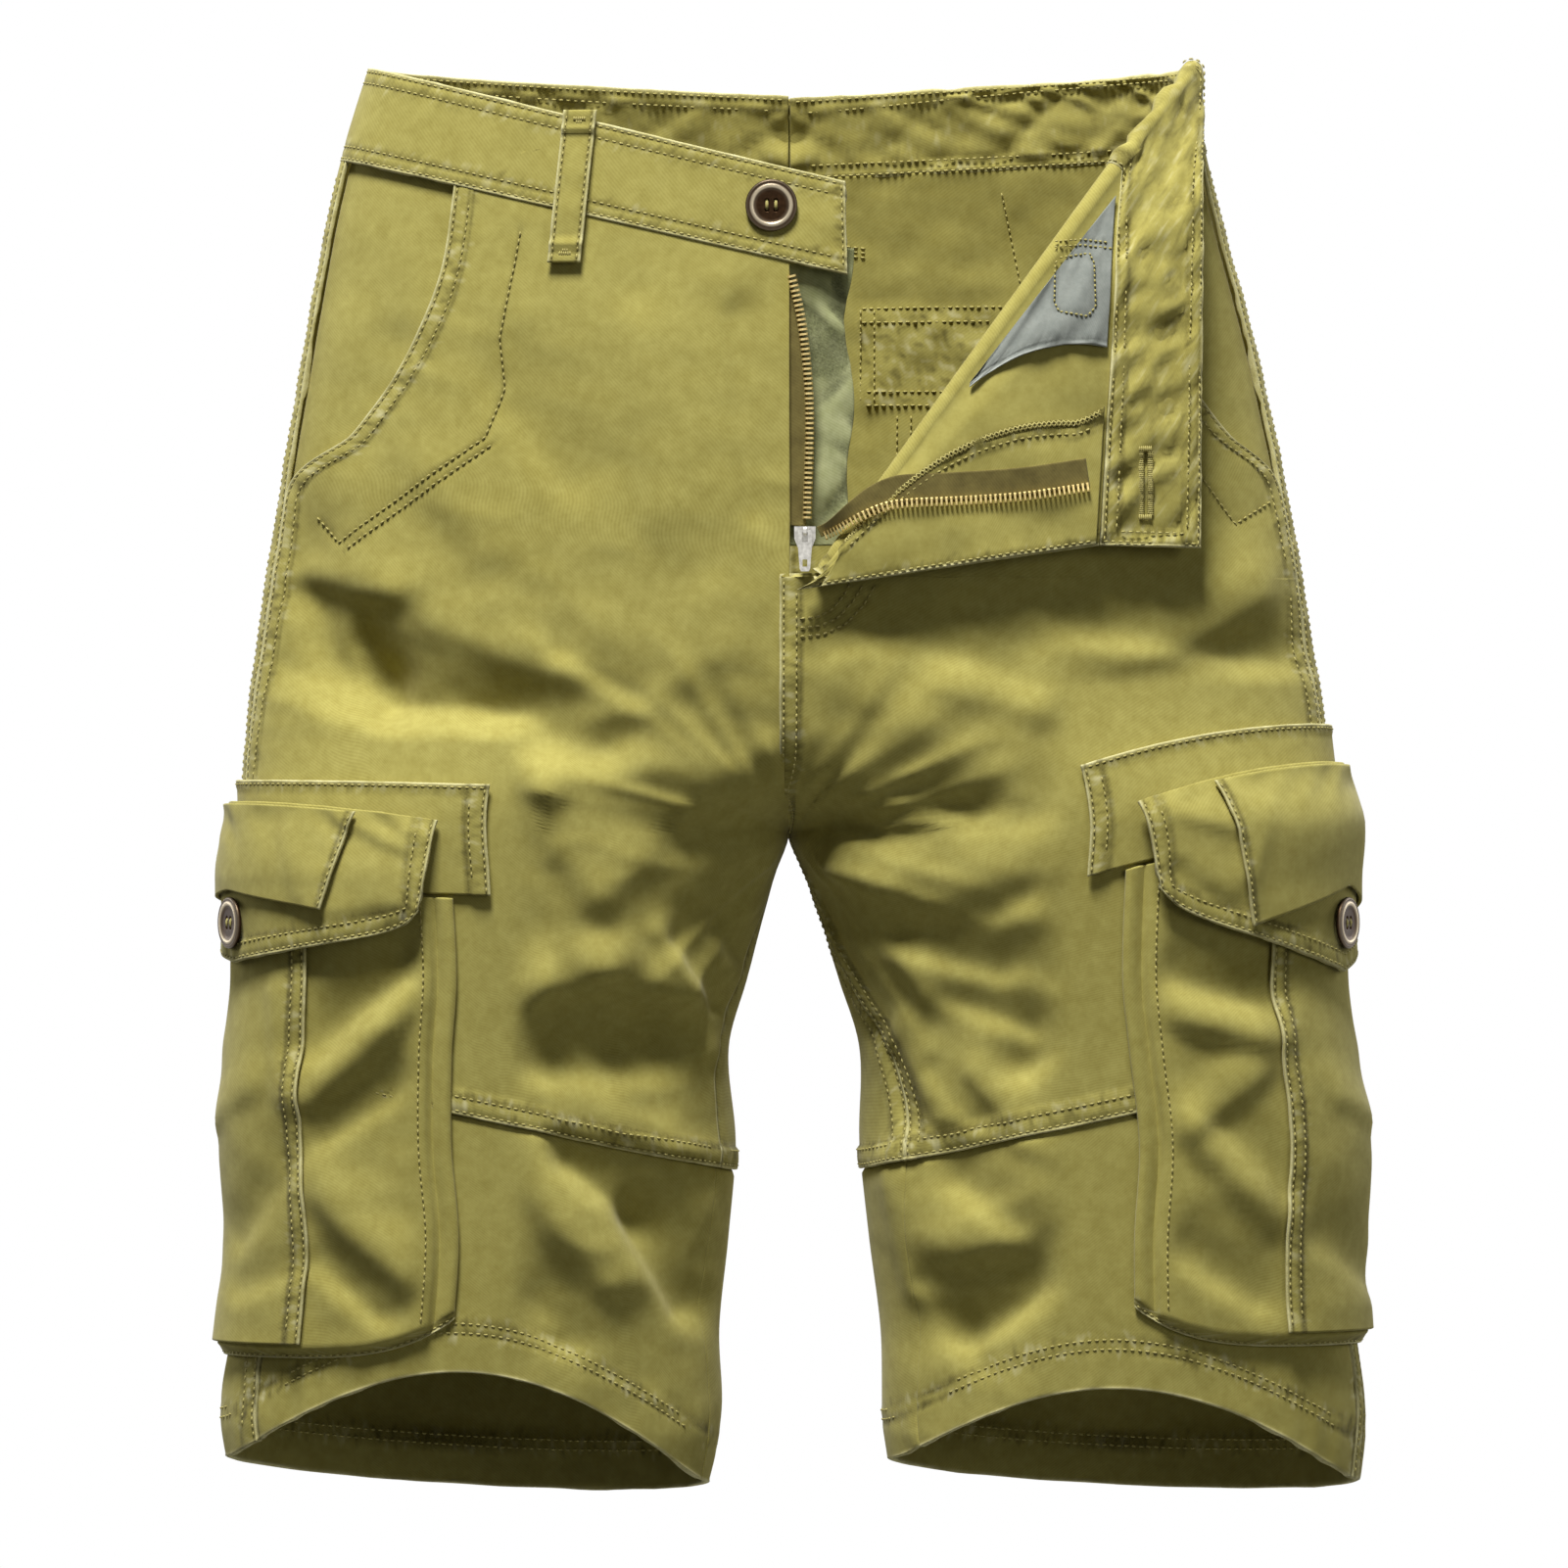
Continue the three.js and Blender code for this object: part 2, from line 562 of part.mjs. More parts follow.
// Hand pockets: the facing lies under the front panel's open edge, and the bag goes on from it
const FACING_UNDER = radians(3);
const FACING_DEPTH = -CLOTH - 1;
const FACING_FOOT = { side: -186, front: -178 };
for (const [name, side] of SIDES) {
  const mouth = angleAtX(side, HAND_POCKET[0].x, HAND_POCKET[0].z);
  const facing = grid(6, 6, (u, v) => {
    const top = bandEdge(side, mix(sideSeam(section(side, HAND_POCKET[0].z)), mouth, u), false) - 1;
    const z = mix(top, mix(FACING_FOOT.side, FACING_FOOT.front, u), v);
    const end = frontStart(side, z) + FACING_UNDER;
    return skin(side, mix(section(side, z).seam, end, trim(u, 0.01)), z, FACING_DEPTH);
  });
  add(`pocket_facing_${name}`, wall([facing], { flip: side.sign < 0 }), TWILL);
}

const BAG_WALL = 1;
const BAG_RIGHT = { top: -58, foot: -200 };
const bagRight = grid(5, 6, (u, v) => {
  const z = mix(BAG_RIGHT.top, BAG_RIGHT.foot, v);
  const start = Math.max(frontStart(RIGHT, z) + FACING_UNDER, section(RIGHT, z).seam) + radians(0.5);
  const end = angleAtX(RIGHT, column(BAG_STITCHING, "x", z), z);
  return skin(RIGHT, mix(start, end, u), z, FACING_DEPTH);
});
add("pocket_bag_right", wall([bagRight], { thickness: BAG_WALL, flip: true }), POCKETING);

// The left bag shows on the turned-back front, under the waistband, and narrows to its foot at the fold. Its
// places are shares of the turned-back panel, along it and across it.
const BAG_LEFT = { top: 0.015, foot: 0.5, inner: 0.06, outer: 0.47, narrowing: 0.82 };
const bagLeft = grid(6, 8, (u, v) => {
  const outer = BAG_LEFT.outer * (1 - BAG_LEFT.narrowing * v);
  return lapel(mix(BAG_LEFT.top, BAG_LEFT.foot, v), mix(BAG_LEFT.inner, outer, u), ON_LAPEL);
});
add("pocket_bag_left", wall([bagLeft], { thickness: BAG_WALL, flip: true }), POCKETING);

// Fly: on the left the facing with the zip on it, on the right the zip's other tape over the shield. The facing's
// inner edge is a share of the turned-back panel's width, and z falls with the share of its length.
const FACING_WALL = 1;
const FACING_TOP = 0.01;
const FACING_END = 0.92;
const FACING_OUTER = 0.995;
const FACING_INNER = [
  { z: 0, across: 0.63 },
  { z: -0.12, across: 0.61 },
  { z: -0.76, across: 0.2 },
  { z: -FACING_END, across: 0.06 },
];
const flyFacing = grid(5, 14, (u, v) => {
  const along = mix(FACING_TOP, FACING_END, v);
  return lapel(along, mix(column(FACING_INNER, "across", -along), FACING_OUTER, u), ON_LAPEL);
});
add("fly_facing", wall([flyFacing], { thickness: FACING_WALL, flip: true }), TWILL);

const TAPE_WIDTH = 12;
const TAPE_WALL = 1;
const TAPE_GAP = 1.4; // between the tape and the facing it crosses
const TAPE_RIGHT = { inner: -9, outer: 7.5, top: -89 };
const TEETH_LEFT = [
  { x: 127, z: -181 },
  { x: 100, z: -185 },
  { x: 73, z: -187 },
  { x: 52, z: -188 },
  { x: 41, z: -189.5 },
  { x: 30, z: -194 },
  { x: 20, z: -199.5 },
  { x: 13.5, z: -202.5 },
];
const teethLeft = new THREE.CatmullRomCurve3(TEETH_LEFT.map(({ x, z }) => new THREE.Vector3(x, 0, z)));
const tapeLeft = grid(2, 18, (u, v) => {
  const at = teethLeft.getPoint(v);
  const onward = teethLeft.getTangent(v);
  const x = at.x + onward.z * TAPE_WIDTH * u;
  const z = at.z - onward.x * TAPE_WIDTH * u;
  const onLapel = lapelDepth(x, z) + ON_LAPEL + TAPE_GAP;
  const atSlider = column(LEFT.sections, "front", z) - 1;
  return new THREE.Vector3(x, -mix(onLapel, atSlider, ease((v - 0.7) / 0.3)), z);
});
add("zip_tape_left", wall([tapeLeft], { thickness: TAPE_WALL }), TAPE);

const onFront = (x, z, lift) => skin(RIGHT, angleAtX(RIGHT, -x, z), z, lift);
const tapeRight = grid(3, 10, (u, v) => {
  const z = mix(TAPE_RIGHT.top, SLIDER.z + 2.3, v);
  return onFront(mix(TAPE_RIGHT.inner, TAPE_RIGHT.outer, u), z, -CLOTH - 0.5);
});
add("zip_tape_right", wall([tapeRight], { thickness: TAPE_WALL, flip: true }), TAPE);

const SHIELD = { inner: -12, edge: 26, top: -80, foot: -206, depth: CLOTH + 2.1, wall: 1.4 };
const SHIELD_WAVES = { edge: 2, edgeTurn: 12, slack: 0.8, slackTurn: 14 };
const shield = grid(6, 14, (u, v) => {
  const edge = SHIELD.edge + SHIELD_WAVES.edge * Math.cos(SHIELD_WAVES.edgeTurn * v);
  const slack = SHIELD_WAVES.slack * (1 + Math.sin(SHIELD_WAVES.slackTurn * v));
  return onFront(mix(SHIELD.inner, edge, u), mix(SHIELD.top, SHIELD.foot, v), -SHIELD.depth - slack * u);
});
add("fly_shield", wall([shield], { thickness: SHIELD.wall, flip: true }), SHIELD_CLOTH);

// Zip slider with its bail, and the pull tab that hangs in the bail
const solidOf = (geometry) => {
  const plain = geometry.clone();
  plain.deleteAttribute("normal");
  plain.deleteAttribute("uv");
  const merged = mergeVertices(plain, 1e-4);
  return new manifold.Manifold(
    new manifold.Mesh({
      numProp: 3,
      vertProperties: merged.getAttribute("position").array,
      triVerts: new Uint32Array(merged.index.array),
    }),
  );
};

function join(first, second) {
  const { vertProperties, triVerts } = solidOf(first).add(solidOf(second)).getMesh();
  return new THREE.BufferGeometry()
    .setAttribute("position", new THREE.Float32BufferAttribute(vertProperties, 3))
    .setIndex([...triVerts]);
}

const outline = (points) => new THREE.Shape(points.map(([x, y]) => new THREE.Vector2(x, y)));
const oblong = (x, bottom, top) => new THREE.Path().setFromPoints(
  [[-x, bottom], [x, bottom], [x, top], [-x, top]].map(([a, b]) => new THREE.Vector2(a, b)),
);
const plate = (shape, depth) => new THREE.ExtrudeGeometry(shape, { depth, bevelEnabled: false });
const UPRIGHT = Math.PI / 2; // turns a shape's own upward direction into Z, and its depth towards the front

const AXIS_OUT = 1.8; // the axis stands this far off the slider's face
const SLIDER_DEPTH = 3.4;
const TAB_DEPTH = 0.9;
const BAIL_WIDTH = 1.4;
const axisPoint = onFront(SLIDER.x, SLIDER.z, 1.5 + AXIS_OUT);
const body = plate(outline([[-4.5, 2], [-4.5, -3], [-3, -7], [3, -7], [4.5, -3], [4.5, 2]]), SLIDER_DEPTH);
body.rotateX(UPRIGHT).translate(0, AXIS_OUT + SLIDER_DEPTH, 0);
const bailShape = outline([[-2.3, -1.8], [0.9, -1.8], [1.8, -0.9], [1.8, 0.9], [0.9, 1.8], [-2.3, 1.8]]);
bailShape.holes.push(new THREE.Path(ring(1, 8)));
const bail = plate(bailShape, BAIL_WIDTH).rotateX(UPRIGHT).rotateZ(-UPRIGHT);
bail.translate(BAIL_WIDTH / 2, 0, 0);
add("zip_slider", join(body, bail), NICKEL).position.copy(axisPoint);

const TAB_EDGE = [[1.6, -17], [2.2, -16], [3.1, -5], [2.9, 0.5]];
const tabShape = outline([...TAB_EDGE, ...TAB_EDGE.map(([x, y]) => [-x, y]).reverse()]);
tabShape.holes.push(oblong(1.2, -4.6, -0.5), oblong(1, -15, -12));
const pull = plate(tabShape, TAB_DEPTH).rotateX(UPRIGHT).translate(0, TAB_DEPTH / 2, 0);
add("zip_pull", pull, NICKEL).position.copy(axisPoint);

// Points of a regular outline round a centre
function ring(radius, count, x = 0, y = 0) {
  return Array.from({ length: count }, (_, k) => {
    const angle = (2 * Math.PI * k) / count;
    return new THREE.Vector2(x + radius * Math.cos(angle), y + radius * Math.sin(angle));
  });
}

function buttonGeometry() {
  const edge = 0.6;
  const shape = new THREE.Shape(ring(BUTTON / 2 - edge, 20));
  for (const { x, y } of ring(2.6, 4)) shape.holes.push(new THREE.Path(ring(1.6, 6, x, y)));
  const bevel = { bevelThickness: edge, bevelSize: edge, bevelSegments: 1 };
  return new THREE.ExtrudeGeometry(shape, { depth: 1.2, ...bevel }).translate(0, 0, edge);
}

// A button whose back is at a point and faces away from it
function addButton(name, point, away) {
  const button = add(name, buttonGeometry(), ANTIQUE_BRASS);
  button.position.copy(point);
  button.quaternion.setFromUnitVectors(new THREE.Vector3(0, 0, 1), away);
}

const facingOut = (at) => at(1).sub(at(0)).normalize();
const waistButton = (lift) => onFront(-7.6, -62, lift);
addButton("button_waist", waistButton(BAND_PROUD + 0.9), facingOut(waistButton));

// Belt loops: strips from the waistband's top edge to the panel below it, standing off in the middle
const LOOP_WIDTH = 14;
const LOOPS = {
  frontRight: { x: 88, footX: 95, top: -21, foot: -86 },
  back: { x: 100, top: -5, foot: -58 },
  middle: { top: -9, foot: -62 },
  frontLeft: { across: 0.45, top: 0.9, foot: -0.3, clear: 0.2 }, // shares of the turned-back waistband
};
const loopLift = (v) => BAND_PROUD + GAP + CLOTH + LOOP_BULGE * Math.sin(Math.PI * limit(v));
const loopOf = (at) => grid(2, 8, (u, v) => at(mix(-LOOP_WIDTH / 2, LOOP_WIDTH / 2, u), v));
const loopFrontRight = loopOf((across, v) => {
  const { x, footX, top, foot } = LOOPS.frontRight;
  const z = mix(top, foot, v);
  return skin(RIGHT, angleAtX(RIGHT, mix(x, footX, v) - across, z), z, loopLift(v));
});
add("belt_loop_front_right", wall([loopFrontRight], { flip: true }), TWILL);
for (const [name, side] of SIDES) {
  const { x, top, foot } = LOOPS.back;
  const loop = loopOf((across, v) => onBack(side, x + across, mix(top, foot, v), loopLift(v)));
  add(`belt_loop_back_${name}`, wall([loop], { flip: side.sign < 0 }), TWILL);
}
const loopMiddle = loopOf((across, v) => {
  const side = across < 0 ? RIGHT : LEFT;
  return onBack(side, Math.abs(across), mix(LOOPS.middle.top, LOOPS.middle.foot, v), loopLift(v));
});
add("belt_loop_back_middle", wall([loopMiddle]), TWILL);
const loopFrontLeft = loopOf((across, v) => {
  const { across: middle, top, foot, clear } = LOOPS.frontLeft;
  const level = mix(top, foot, v);
  const edge = between(BAND_END.inner, BAND_END.outer, level);
  const start = mix(LAPEL_TOP + GAP, FOLD_TOP.z, level);
  return overLapel(start, edge, middle + across / BAND_TURNED, -loopLift(v) - clear);
});
add("belt_loop_front_left", wall([loopFrontLeft]), TWILL);

// Cargo pockets, on each thigh's side: a stitched patch behind the opening, a pocket with folded sides, a strip
// down its middle, and a pointed flap under a wider tab
for (const [name, side] of SIDES) {
  const cargo = side.cargo;
  const flip = side.sign < 0;
  const at = (across, z, lift) => onArc(side, CARGO.middle + across, z, lift);
  const spread = (half, u) => mix(-half, half, u);
  const patchEdge = (across) => cargo.patchTop - cargo.patchDroop * (across / CARGO.patchHalf) ** 2;
  const patch = grid(24, 3, (u, v) => {
    const across = spread(CARGO.patchHalf, u);
    return at(across, patchEdge(across) - CARGO.patchDepth * v, LAYER_GAP + CLOTH);
  });
  add(`cargo_patch_${name}`, wall([patch], { flip }), TWILL);

  const pocketTop = (across) => patchEdge(across) - CARGO.patchDepth - 1.5;
  const pocketBottom = (across) => cargo.bottom + CARGO.footRound * Math.abs(across / CARGO.half) ** 5;
  const stand = CARGO.stand + CLOTH;
  const [columns, rows] = [20, 6];
  const pocket = grid(columns + 2, rows + 1, (u, v) => {
    const i = Math.round(u * (columns + 2));
    const j = Math.round(v * (rows + 1));
    const share = limit((i - 1) / columns);
    const footed = i === 0 || i === columns + 2 || j === rows + 1;
    const half = i === 0 || i === columns + 2 ? CARGO.footHalf : CARGO.half;
    const top = pocketTop(spread(CARGO.half, share));
    const bottom = pocketBottom(spread(CARGO.half, share));
    const z = mix(top, bottom, limit(j / rows)) - (j === rows + 1 ? 5 : 0);
    return at(spread(half, share), z, footed ? CARGO.footLift : stand);
  });
  add(`cargo_pocket_${name}`, wall([pocket], { flip }), TWILL);

  const onPocket = stand + LAYER_GAP + CLOTH;
  const strip = grid(9, 6, (u, v) => {
    const across = spread(CARGO.stripHalf, u);
    return at(across, mix(pocketTop(across) - 1, pocketBottom(across) + 1, v), onPocket);
  });
  add(`cargo_strip_${name}`, wall([strip], { flip }), TWILL);

  const flapTop = (across) => cargo.flapTop - cargo.flapDroop * (across / CARGO.flapHalf) ** 2;
  const flapLift = (z) => {
    const low = LAYER_GAP + CLOTH + LAYER_GAP + DOUBLED;
    const rise = ease((cargo.flapTop - 4 - z) / (cargo.flapTop - cargo.patchTop + CARGO.patchDepth - 8));
    return mix(low, onPocket + LAYER_GAP + GAP + DOUBLED, rise);
  };
  const flap = grid(18, 5, (u, v) => {
    const across = spread(mix(CARGO.flapHalf, CARGO.flapFoot, v), u);
    const corner = cargo.flapTop - cargo.flapDroop - cargo.flapEnds;
    const off = Math.abs(2 * u - 1);
    const foot = mix(cargo.flapPoint, corner, off) + CARGO.cornerRound * off ** 12;
    const z = mix(flapTop(across), foot, v);
    return at(across, z, flapLift(z));
  });
  add(`cargo_flap_${name}`, wall([flap], { thickness: DOUBLED, flip }), TWILL);

  const tab = grid(12, 4, (u, v) => {
    const across = spread(mix(CARGO.tabHalf, CARGO.tabFoot, v), u);
    const z = mix(flapTop(across) - 1, mix(cargo.tabMiddle, cargo.tabCorner, Math.abs(2 * u - 1)), v);
    return at(across, z, flapLift(z) + LAYER_GAP + CLOTH + GAP);
  });
  add(`cargo_tab_${name}`, wall([tab], { flip }), TWILL);

  const spot = (lift) => at(0, cargo.button, flapLift(cargo.button) + lift);
  addButton(`cargo_button_${name}`, spot(LAYER_GAP + 0.2), facingOut(spot));
}

// Back pockets: patch, pocket and flap on each back panel, each with its two edges, its top, and its foot in the
// middle and at the corners
const BACK_POCKET = {
  patch: { inner: 29, outer: 182, top: -98, foot: -143, corner: -143 },
  pocket: { inner: 45, outer: 166, top: -144.5, foot: -268, corner: -256 },
  flap: { inner: 40, outer: 171, top: -103, foot: -166, corner: -148 },
  button: { x: 105, z: -152 },
};
for (const [name, side] of SIDES) {
  const flip = side.sign < 0;
  const onSeat = (shape, lift) => (u, v) => {
    const foot = mix(shape.foot, shape.corner, Math.abs(2 * u - 1));
    return onBack(side, mix(shape.inner, shape.outer, u), mix(shape.top, foot, v), lift);
  };
  const low = LAYER_GAP + CLOTH;
  const flapDepth = low + LAYER_GAP + DOUBLED;
  add(`back_patch_${name}`, wall([grid(14, 2, onSeat(BACK_POCKET.patch, low))], { flip }), TWILL);
  add(`back_pocket_${name}`, wall([grid(10, 6, onSeat(BACK_POCKET.pocket, low))], { flip }), TWILL);
  const flap = grid(12, 3, onSeat(BACK_POCKET.flap, flapDepth));
  add(`back_flap_${name}`, wall([flap], { thickness: DOUBLED, flip }), TWILL);
  const spot = (lift) => onBack(side, BACK_POCKET.button.x, BACK_POCKET.button.z, flapDepth + lift);
  addButton(`back_button_${name}`, spot(LAYER_GAP), facingOut(spot));
}

export default shorts;
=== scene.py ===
"""Cargo shorts in washed cotton twill, filled out as if worn, with the fly open.

The left front is turned back. Shapes are worked out in millimetres, as whole grids of points, and go into
their meshes in metres. +X is the wearer's left, -Y the front, +Z up.
"""
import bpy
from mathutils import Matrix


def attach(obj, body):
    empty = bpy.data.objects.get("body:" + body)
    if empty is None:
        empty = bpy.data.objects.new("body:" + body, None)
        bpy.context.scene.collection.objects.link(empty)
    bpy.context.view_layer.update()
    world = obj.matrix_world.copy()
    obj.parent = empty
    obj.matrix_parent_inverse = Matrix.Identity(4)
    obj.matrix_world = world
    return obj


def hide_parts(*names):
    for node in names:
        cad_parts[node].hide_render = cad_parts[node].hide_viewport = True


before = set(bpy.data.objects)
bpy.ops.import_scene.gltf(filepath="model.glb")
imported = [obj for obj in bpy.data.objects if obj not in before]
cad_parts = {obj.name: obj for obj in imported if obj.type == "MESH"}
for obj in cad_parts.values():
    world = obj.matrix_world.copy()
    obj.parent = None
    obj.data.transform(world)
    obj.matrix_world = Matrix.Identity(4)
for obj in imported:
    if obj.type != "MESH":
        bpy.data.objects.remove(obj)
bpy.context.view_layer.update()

from types import SimpleNamespace

import bpy
import numpy as np

# Camera
# The photo was taken level with the shorts and from far away, so the camera stands 5 m in front and looks
# straight back. Its view is 0.672 m wide where the garment stands.
VIEW_WIDTH = 0.6724
VIEW_DISTANCE = 5.0
camera_data = bpy.data.cameras.new("camera")
camera_data.sensor_width = 36
camera_data.lens = camera_data.sensor_width * VIEW_DISTANCE / VIEW_WIDTH
camera = bpy.data.objects.new("camera", camera_data)
camera.location = (-0.0023, -VIEW_DISTANCE, -0.3068)
camera.rotation_euler = (np.pi / 2, 0, 0)
bpy.context.collection.objects.link(camera)
bpy.context.scene.camera = camera

# Studio
# A plain pale floor far below the hung garment, and white all round it, which is dim for everything but the
# camera and the metals. One large light high in front, a weak one low on the right, one at each side and one
# behind.
def linear(colour):
    """An sRGB hex colour as linear red, green, blue and an alpha of 1."""
    parts = np.array([int(colour[k:k + 2], 16) for k in (1, 3, 5)]) / 255
    low, high = parts / 12.92, ((parts + 0.055) / 1.055) ** 2.4
    return (*np.where(parts <= 0.04045, low, high).tolist(), 1.0)


def new_material(name):
    """An empty node material with its output's shader, both returned."""
    material = bpy.data.materials.new(name)
    material.use_nodes = True
    return material, material.node_tree.nodes["Principled BSDF"]


def add_node(material, kind, inputs=(), **settings):
    """Add a node. Each (number, value) of inputs is a number, a hex colour or another node's output."""
    node = material.node_tree.nodes.new(kind)
    for name, value in settings.items():
        setattr(node, name, value)
    for number, value in inputs:
        if isinstance(value, bpy.types.NodeSocket):
            material.node_tree.links.new(value, node.inputs[number])
        else:
            node.inputs[number].default_value = linear(value) if isinstance(value, str) else value
    return node


def add_noise(material, place, scale, detail, roughness=0.5):
    """A noise from 0 to 1 with about scale spots to a metre."""
    inputs = [(0, place), (2, scale), (3, detail), (4, roughness)]
    return add_node(material, "ShaderNodeTexNoise", inputs).outputs[0]


def add_math(material, operation, *values, clamp=False):
    """A sum, product or the like of numbers and other nodes' outputs."""
    return add_node(material, "ShaderNodeMath", enumerate(values), operation=operation,
                    use_clamp=clamp).outputs[0]


def add_range(material, value, low, high, at_low=0, at_high=1):
    """A value's way from low to high as a way from at_low to at_high, held at both ends."""
    inputs = [(0, value), (1, low), (2, high), (3, at_low), (4, at_high)]
    return add_node(material, "ShaderNodeMapRange", inputs).outputs[0]


def add_mix(material, share, low, high, blend="MIX"):
    """The colour a share of the way from one colour to another."""
    return add_node(material, "ShaderNodeMix", [(0, share), (6, low), (7, high)], data_type="RGBA",
                    blend_type=blend).outputs[2]


def set_shader(material, shader, **values):
    """Set a shader's inputs, named with _ for a space, to numbers or other nodes' outputs."""
    for name, value in values.items():
        entry = shader.inputs[name.replace("_", " ")]
        if isinstance(value, bpy.types.NodeSocket):
            material.node_tree.links.new(value, entry)
        else:
            entry.default_value = value


FLOOR_HALF, FLOOR_AT = 1.0, -2.4
corners = ((-1, -1), (1, -1), (1, 1), (-1, 1))
floor_mesh = bpy.data.meshes.new("floor")
floor_points = [(x * FLOOR_HALF, y * FLOOR_HALF, FLOOR_AT) for x, y in corners]
floor_mesh.from_pydata(floor_points, [], [(0, 1, 2, 3)])
floor = bpy.data.objects.new("pale_floor", floor_mesh)
bpy.context.collection.objects.link(floor)
paint, shader = new_material("matt_white_paint")
place = add_node(paint, "ShaderNodeTexCoord").outputs["Object"]
grain = add_noise(paint, place, 40, 3)
set_shader(paint, shader, Base_Color=add_mix(paint, grain, "#cacac7", "#d2d2cf"), Roughness=1,
           Specular_IOR_Level=0)
floor_mesh.materials.append(paint)

AIM = (0, 0, -0.3)
LIGHTS = [
    # name, place, size, watts
    ("key", (-0.6, -1.85, 3.85), 1.3, 375),
    ("fill", (2.4, -3.0, 0.6), 1.5, 15),
    ("side_left", (-2.1, 1.2, 0.4), 1.2, 20),
    ("side_right", (2.1, 1.2, 0.4), 1.2, 20),
    ("behind", (0.6, 2.6, 2.4), 1.5, 60),
]
for name, place, size, watts in LIGHTS:
    light = bpy.data.lights.new(name, "AREA")
    light.size = size
    light.energy = watts
    lamp = bpy.data.objects.new(name, light)
    lamp.location = place
    away = np.array(place) - np.array(AIM)
    lamp.rotation_euler = (np.arctan2(np.hypot(away[0], away[1]), away[2]), 0,
                           np.arctan2(away[0], -away[1]))
    bpy.context.collection.objects.link(lamp)
# how bright the white all round is for everything but the camera and the metals
AROUND = 0.06
world = bpy.data.worlds.new("studio")
world.use_nodes = True
ray = add_node(world, "ShaderNodeLightPath")
seen = add_math(world, "MAXIMUM", ray.outputs["Is Camera Ray"], ray.outputs["Is Glossy Ray"])
background = world.node_tree.nodes["Background"]
background.inputs[0].default_value = linear("#ffffff")
world.node_tree.links.new(add_range(world, seen, 0, 1, AROUND, 1), background.inputs[1])
bpy.context.scene.world = world
bpy.context.scene.view_settings.view_transform = "Standard"

# Garment-washed cotton twill
# A 2/1 cotton twill dyed olive after sewing and washed: matt, mottled and paler on worn edges, with painted
# shade in the needle rows, under stepped edges and in the hollows of puckers and folds. The real twill lines
# are 0.5 mm apart and are drawn at 1.1 mm, so that they show.
CLOTH = 1.5
TWILL_LINES = 1.1e-3


def add_attribute(material, name):
    """A mesh attribute's value, as turned_edge and its like have set it."""
    return add_node(material, "ShaderNodeAttribute", attribute_name=name).outputs["Fac"]


def add_bump(material, height, strength, distance, under=None):
    """A bump of so many metres, on top of another one."""
    inputs = [(0, strength), (1, distance), (2, height)]
    if under is not None:
        inputs.append((3, under))
    return add_node(material, "ShaderNodeBump", inputs).outputs[0]


def twill_material(name, light, dark, worn, painted_shade):
    """Cloth with weave, mottling, wear, puckers, washed-in creases and painted shade in needle rows and
    hollows.
    """
    material, shader = new_material(name)
    cloth = add_node(material, "ShaderNodeUVMap", uv_map="cloth").outputs[0]
    place = add_node(material, "ShaderNodeTexCoord").outputs["Object"]
    clouds = add_noise(material, place, 11, 4, 0.6)
    mottle = add_noise(material, place, 150, 4, 0.7)
    fibre = add_noise(material, place, 900, 2, 0.7)
    diagonal = add_node(material, "ShaderNodeMapping", [(0, cloth), (2, (0, 0, 1.05))]).outputs[0]
    twill = add_node(material, "ShaderNodeTexWave",
                     [(0, diagonal), (1, 2 * np.pi / TWILL_LINES / 20), (2, 0.4), (3, 1)],
                     wave_type="BANDS", bands_direction="X").outputs[1]
    spread = add_math(material, "MULTIPLY_ADD", clouds, 0.4, mottle)
    base = add_mix(material, add_range(material, spread, 0.5, 0.92), dark, light)
    weave = add_math(material, "MULTIPLY", twill, fibre)
    weave_share = add_math(material, "MULTIPLY", weave, 0.75)
    woven = add_mix(material, weave_share, base, "#d8d4c6", "MULTIPLY")
    patchy = add_range(material, mottle, 0.3, 0.7, 0.3, 1)
    worn_share = add_math(material, "MULTIPLY", add_attribute(material, "wear"), patchy, clamp=True)
    worn_tone = add_mix(material, worn_share, woven, worn)
    # puckers: noise drawn out at a right angle to the seams, 4 to 5 mm from one to the next
    ripples = []
    for way, stretch in (("down", (110, 230, 1)), ("across", (230, 110, 1))):
        inputs = [(0, cloth), (2, (0, 0, 0.12)), (3, stretch)]
        drawn_out = add_node(material, "ShaderNodeMapping", inputs).outputs[0]
        centred = add_math(material, "SUBTRACT", add_noise(material, drawn_out, 1, 1.5), 0.5)
        ripples.append(add_math(material, "MULTIPLY", centred, add_attribute(material, "pucker_" + way)))
    gather = add_math(material, "ADD", *ripples)
    # the puckers' raised ridges are paler with wear, and their sunk hollows get painted shade
    pale = add_mix(material, add_range(material, gather, 0.04, 0.3, 0, 0.75), worn_tone, worn)
    shade_in_pucker_hollows = add_mix(material, add_range(material, gather, -0.04, -0.3, 0, 0.7), pale, painted_shade)
    # painted shade where the mesh marks it (stitch rows, stepped edges and hollows), speckled by the fibre
    # noise
    shaded = add_range(material, fibre, 0.3, 0.7, 0.5, 1)
    painted_shade_share = add_math(material, "MULTIPLY", add_attribute(material, "painted_shade"), shaded, clamp=True)
    # relief: the puckers, then creases washed in about 20 mm apart, then the weave itself
    gathered = add_bump(material, gather, 1, 0.0034)
    creased = add_bump(material, add_noise(material, place, 48, 5, 0.62), 0.5, 0.0032, gathered)
    depth = add_math(material, "ADD", weave, mottle)
    set_shader(material, shader, Base_Color=add_mix(material, painted_shade_share, shade_in_pucker_hollows, painted_shade), Roughness=0.92,
               Normal=add_bump(material, depth, 0.35, 0.0006, creased), Specular_IOR_Level=0.08,
               Sheen_Weight=0.12, Sheen_Roughness=0.5)
    return material


TWILL = twill_material("garment_washed_cotton_twill", light="#b4ab60", dark="#a2984f", worn="#dad4a2",
                       painted_shade="#3c3516")

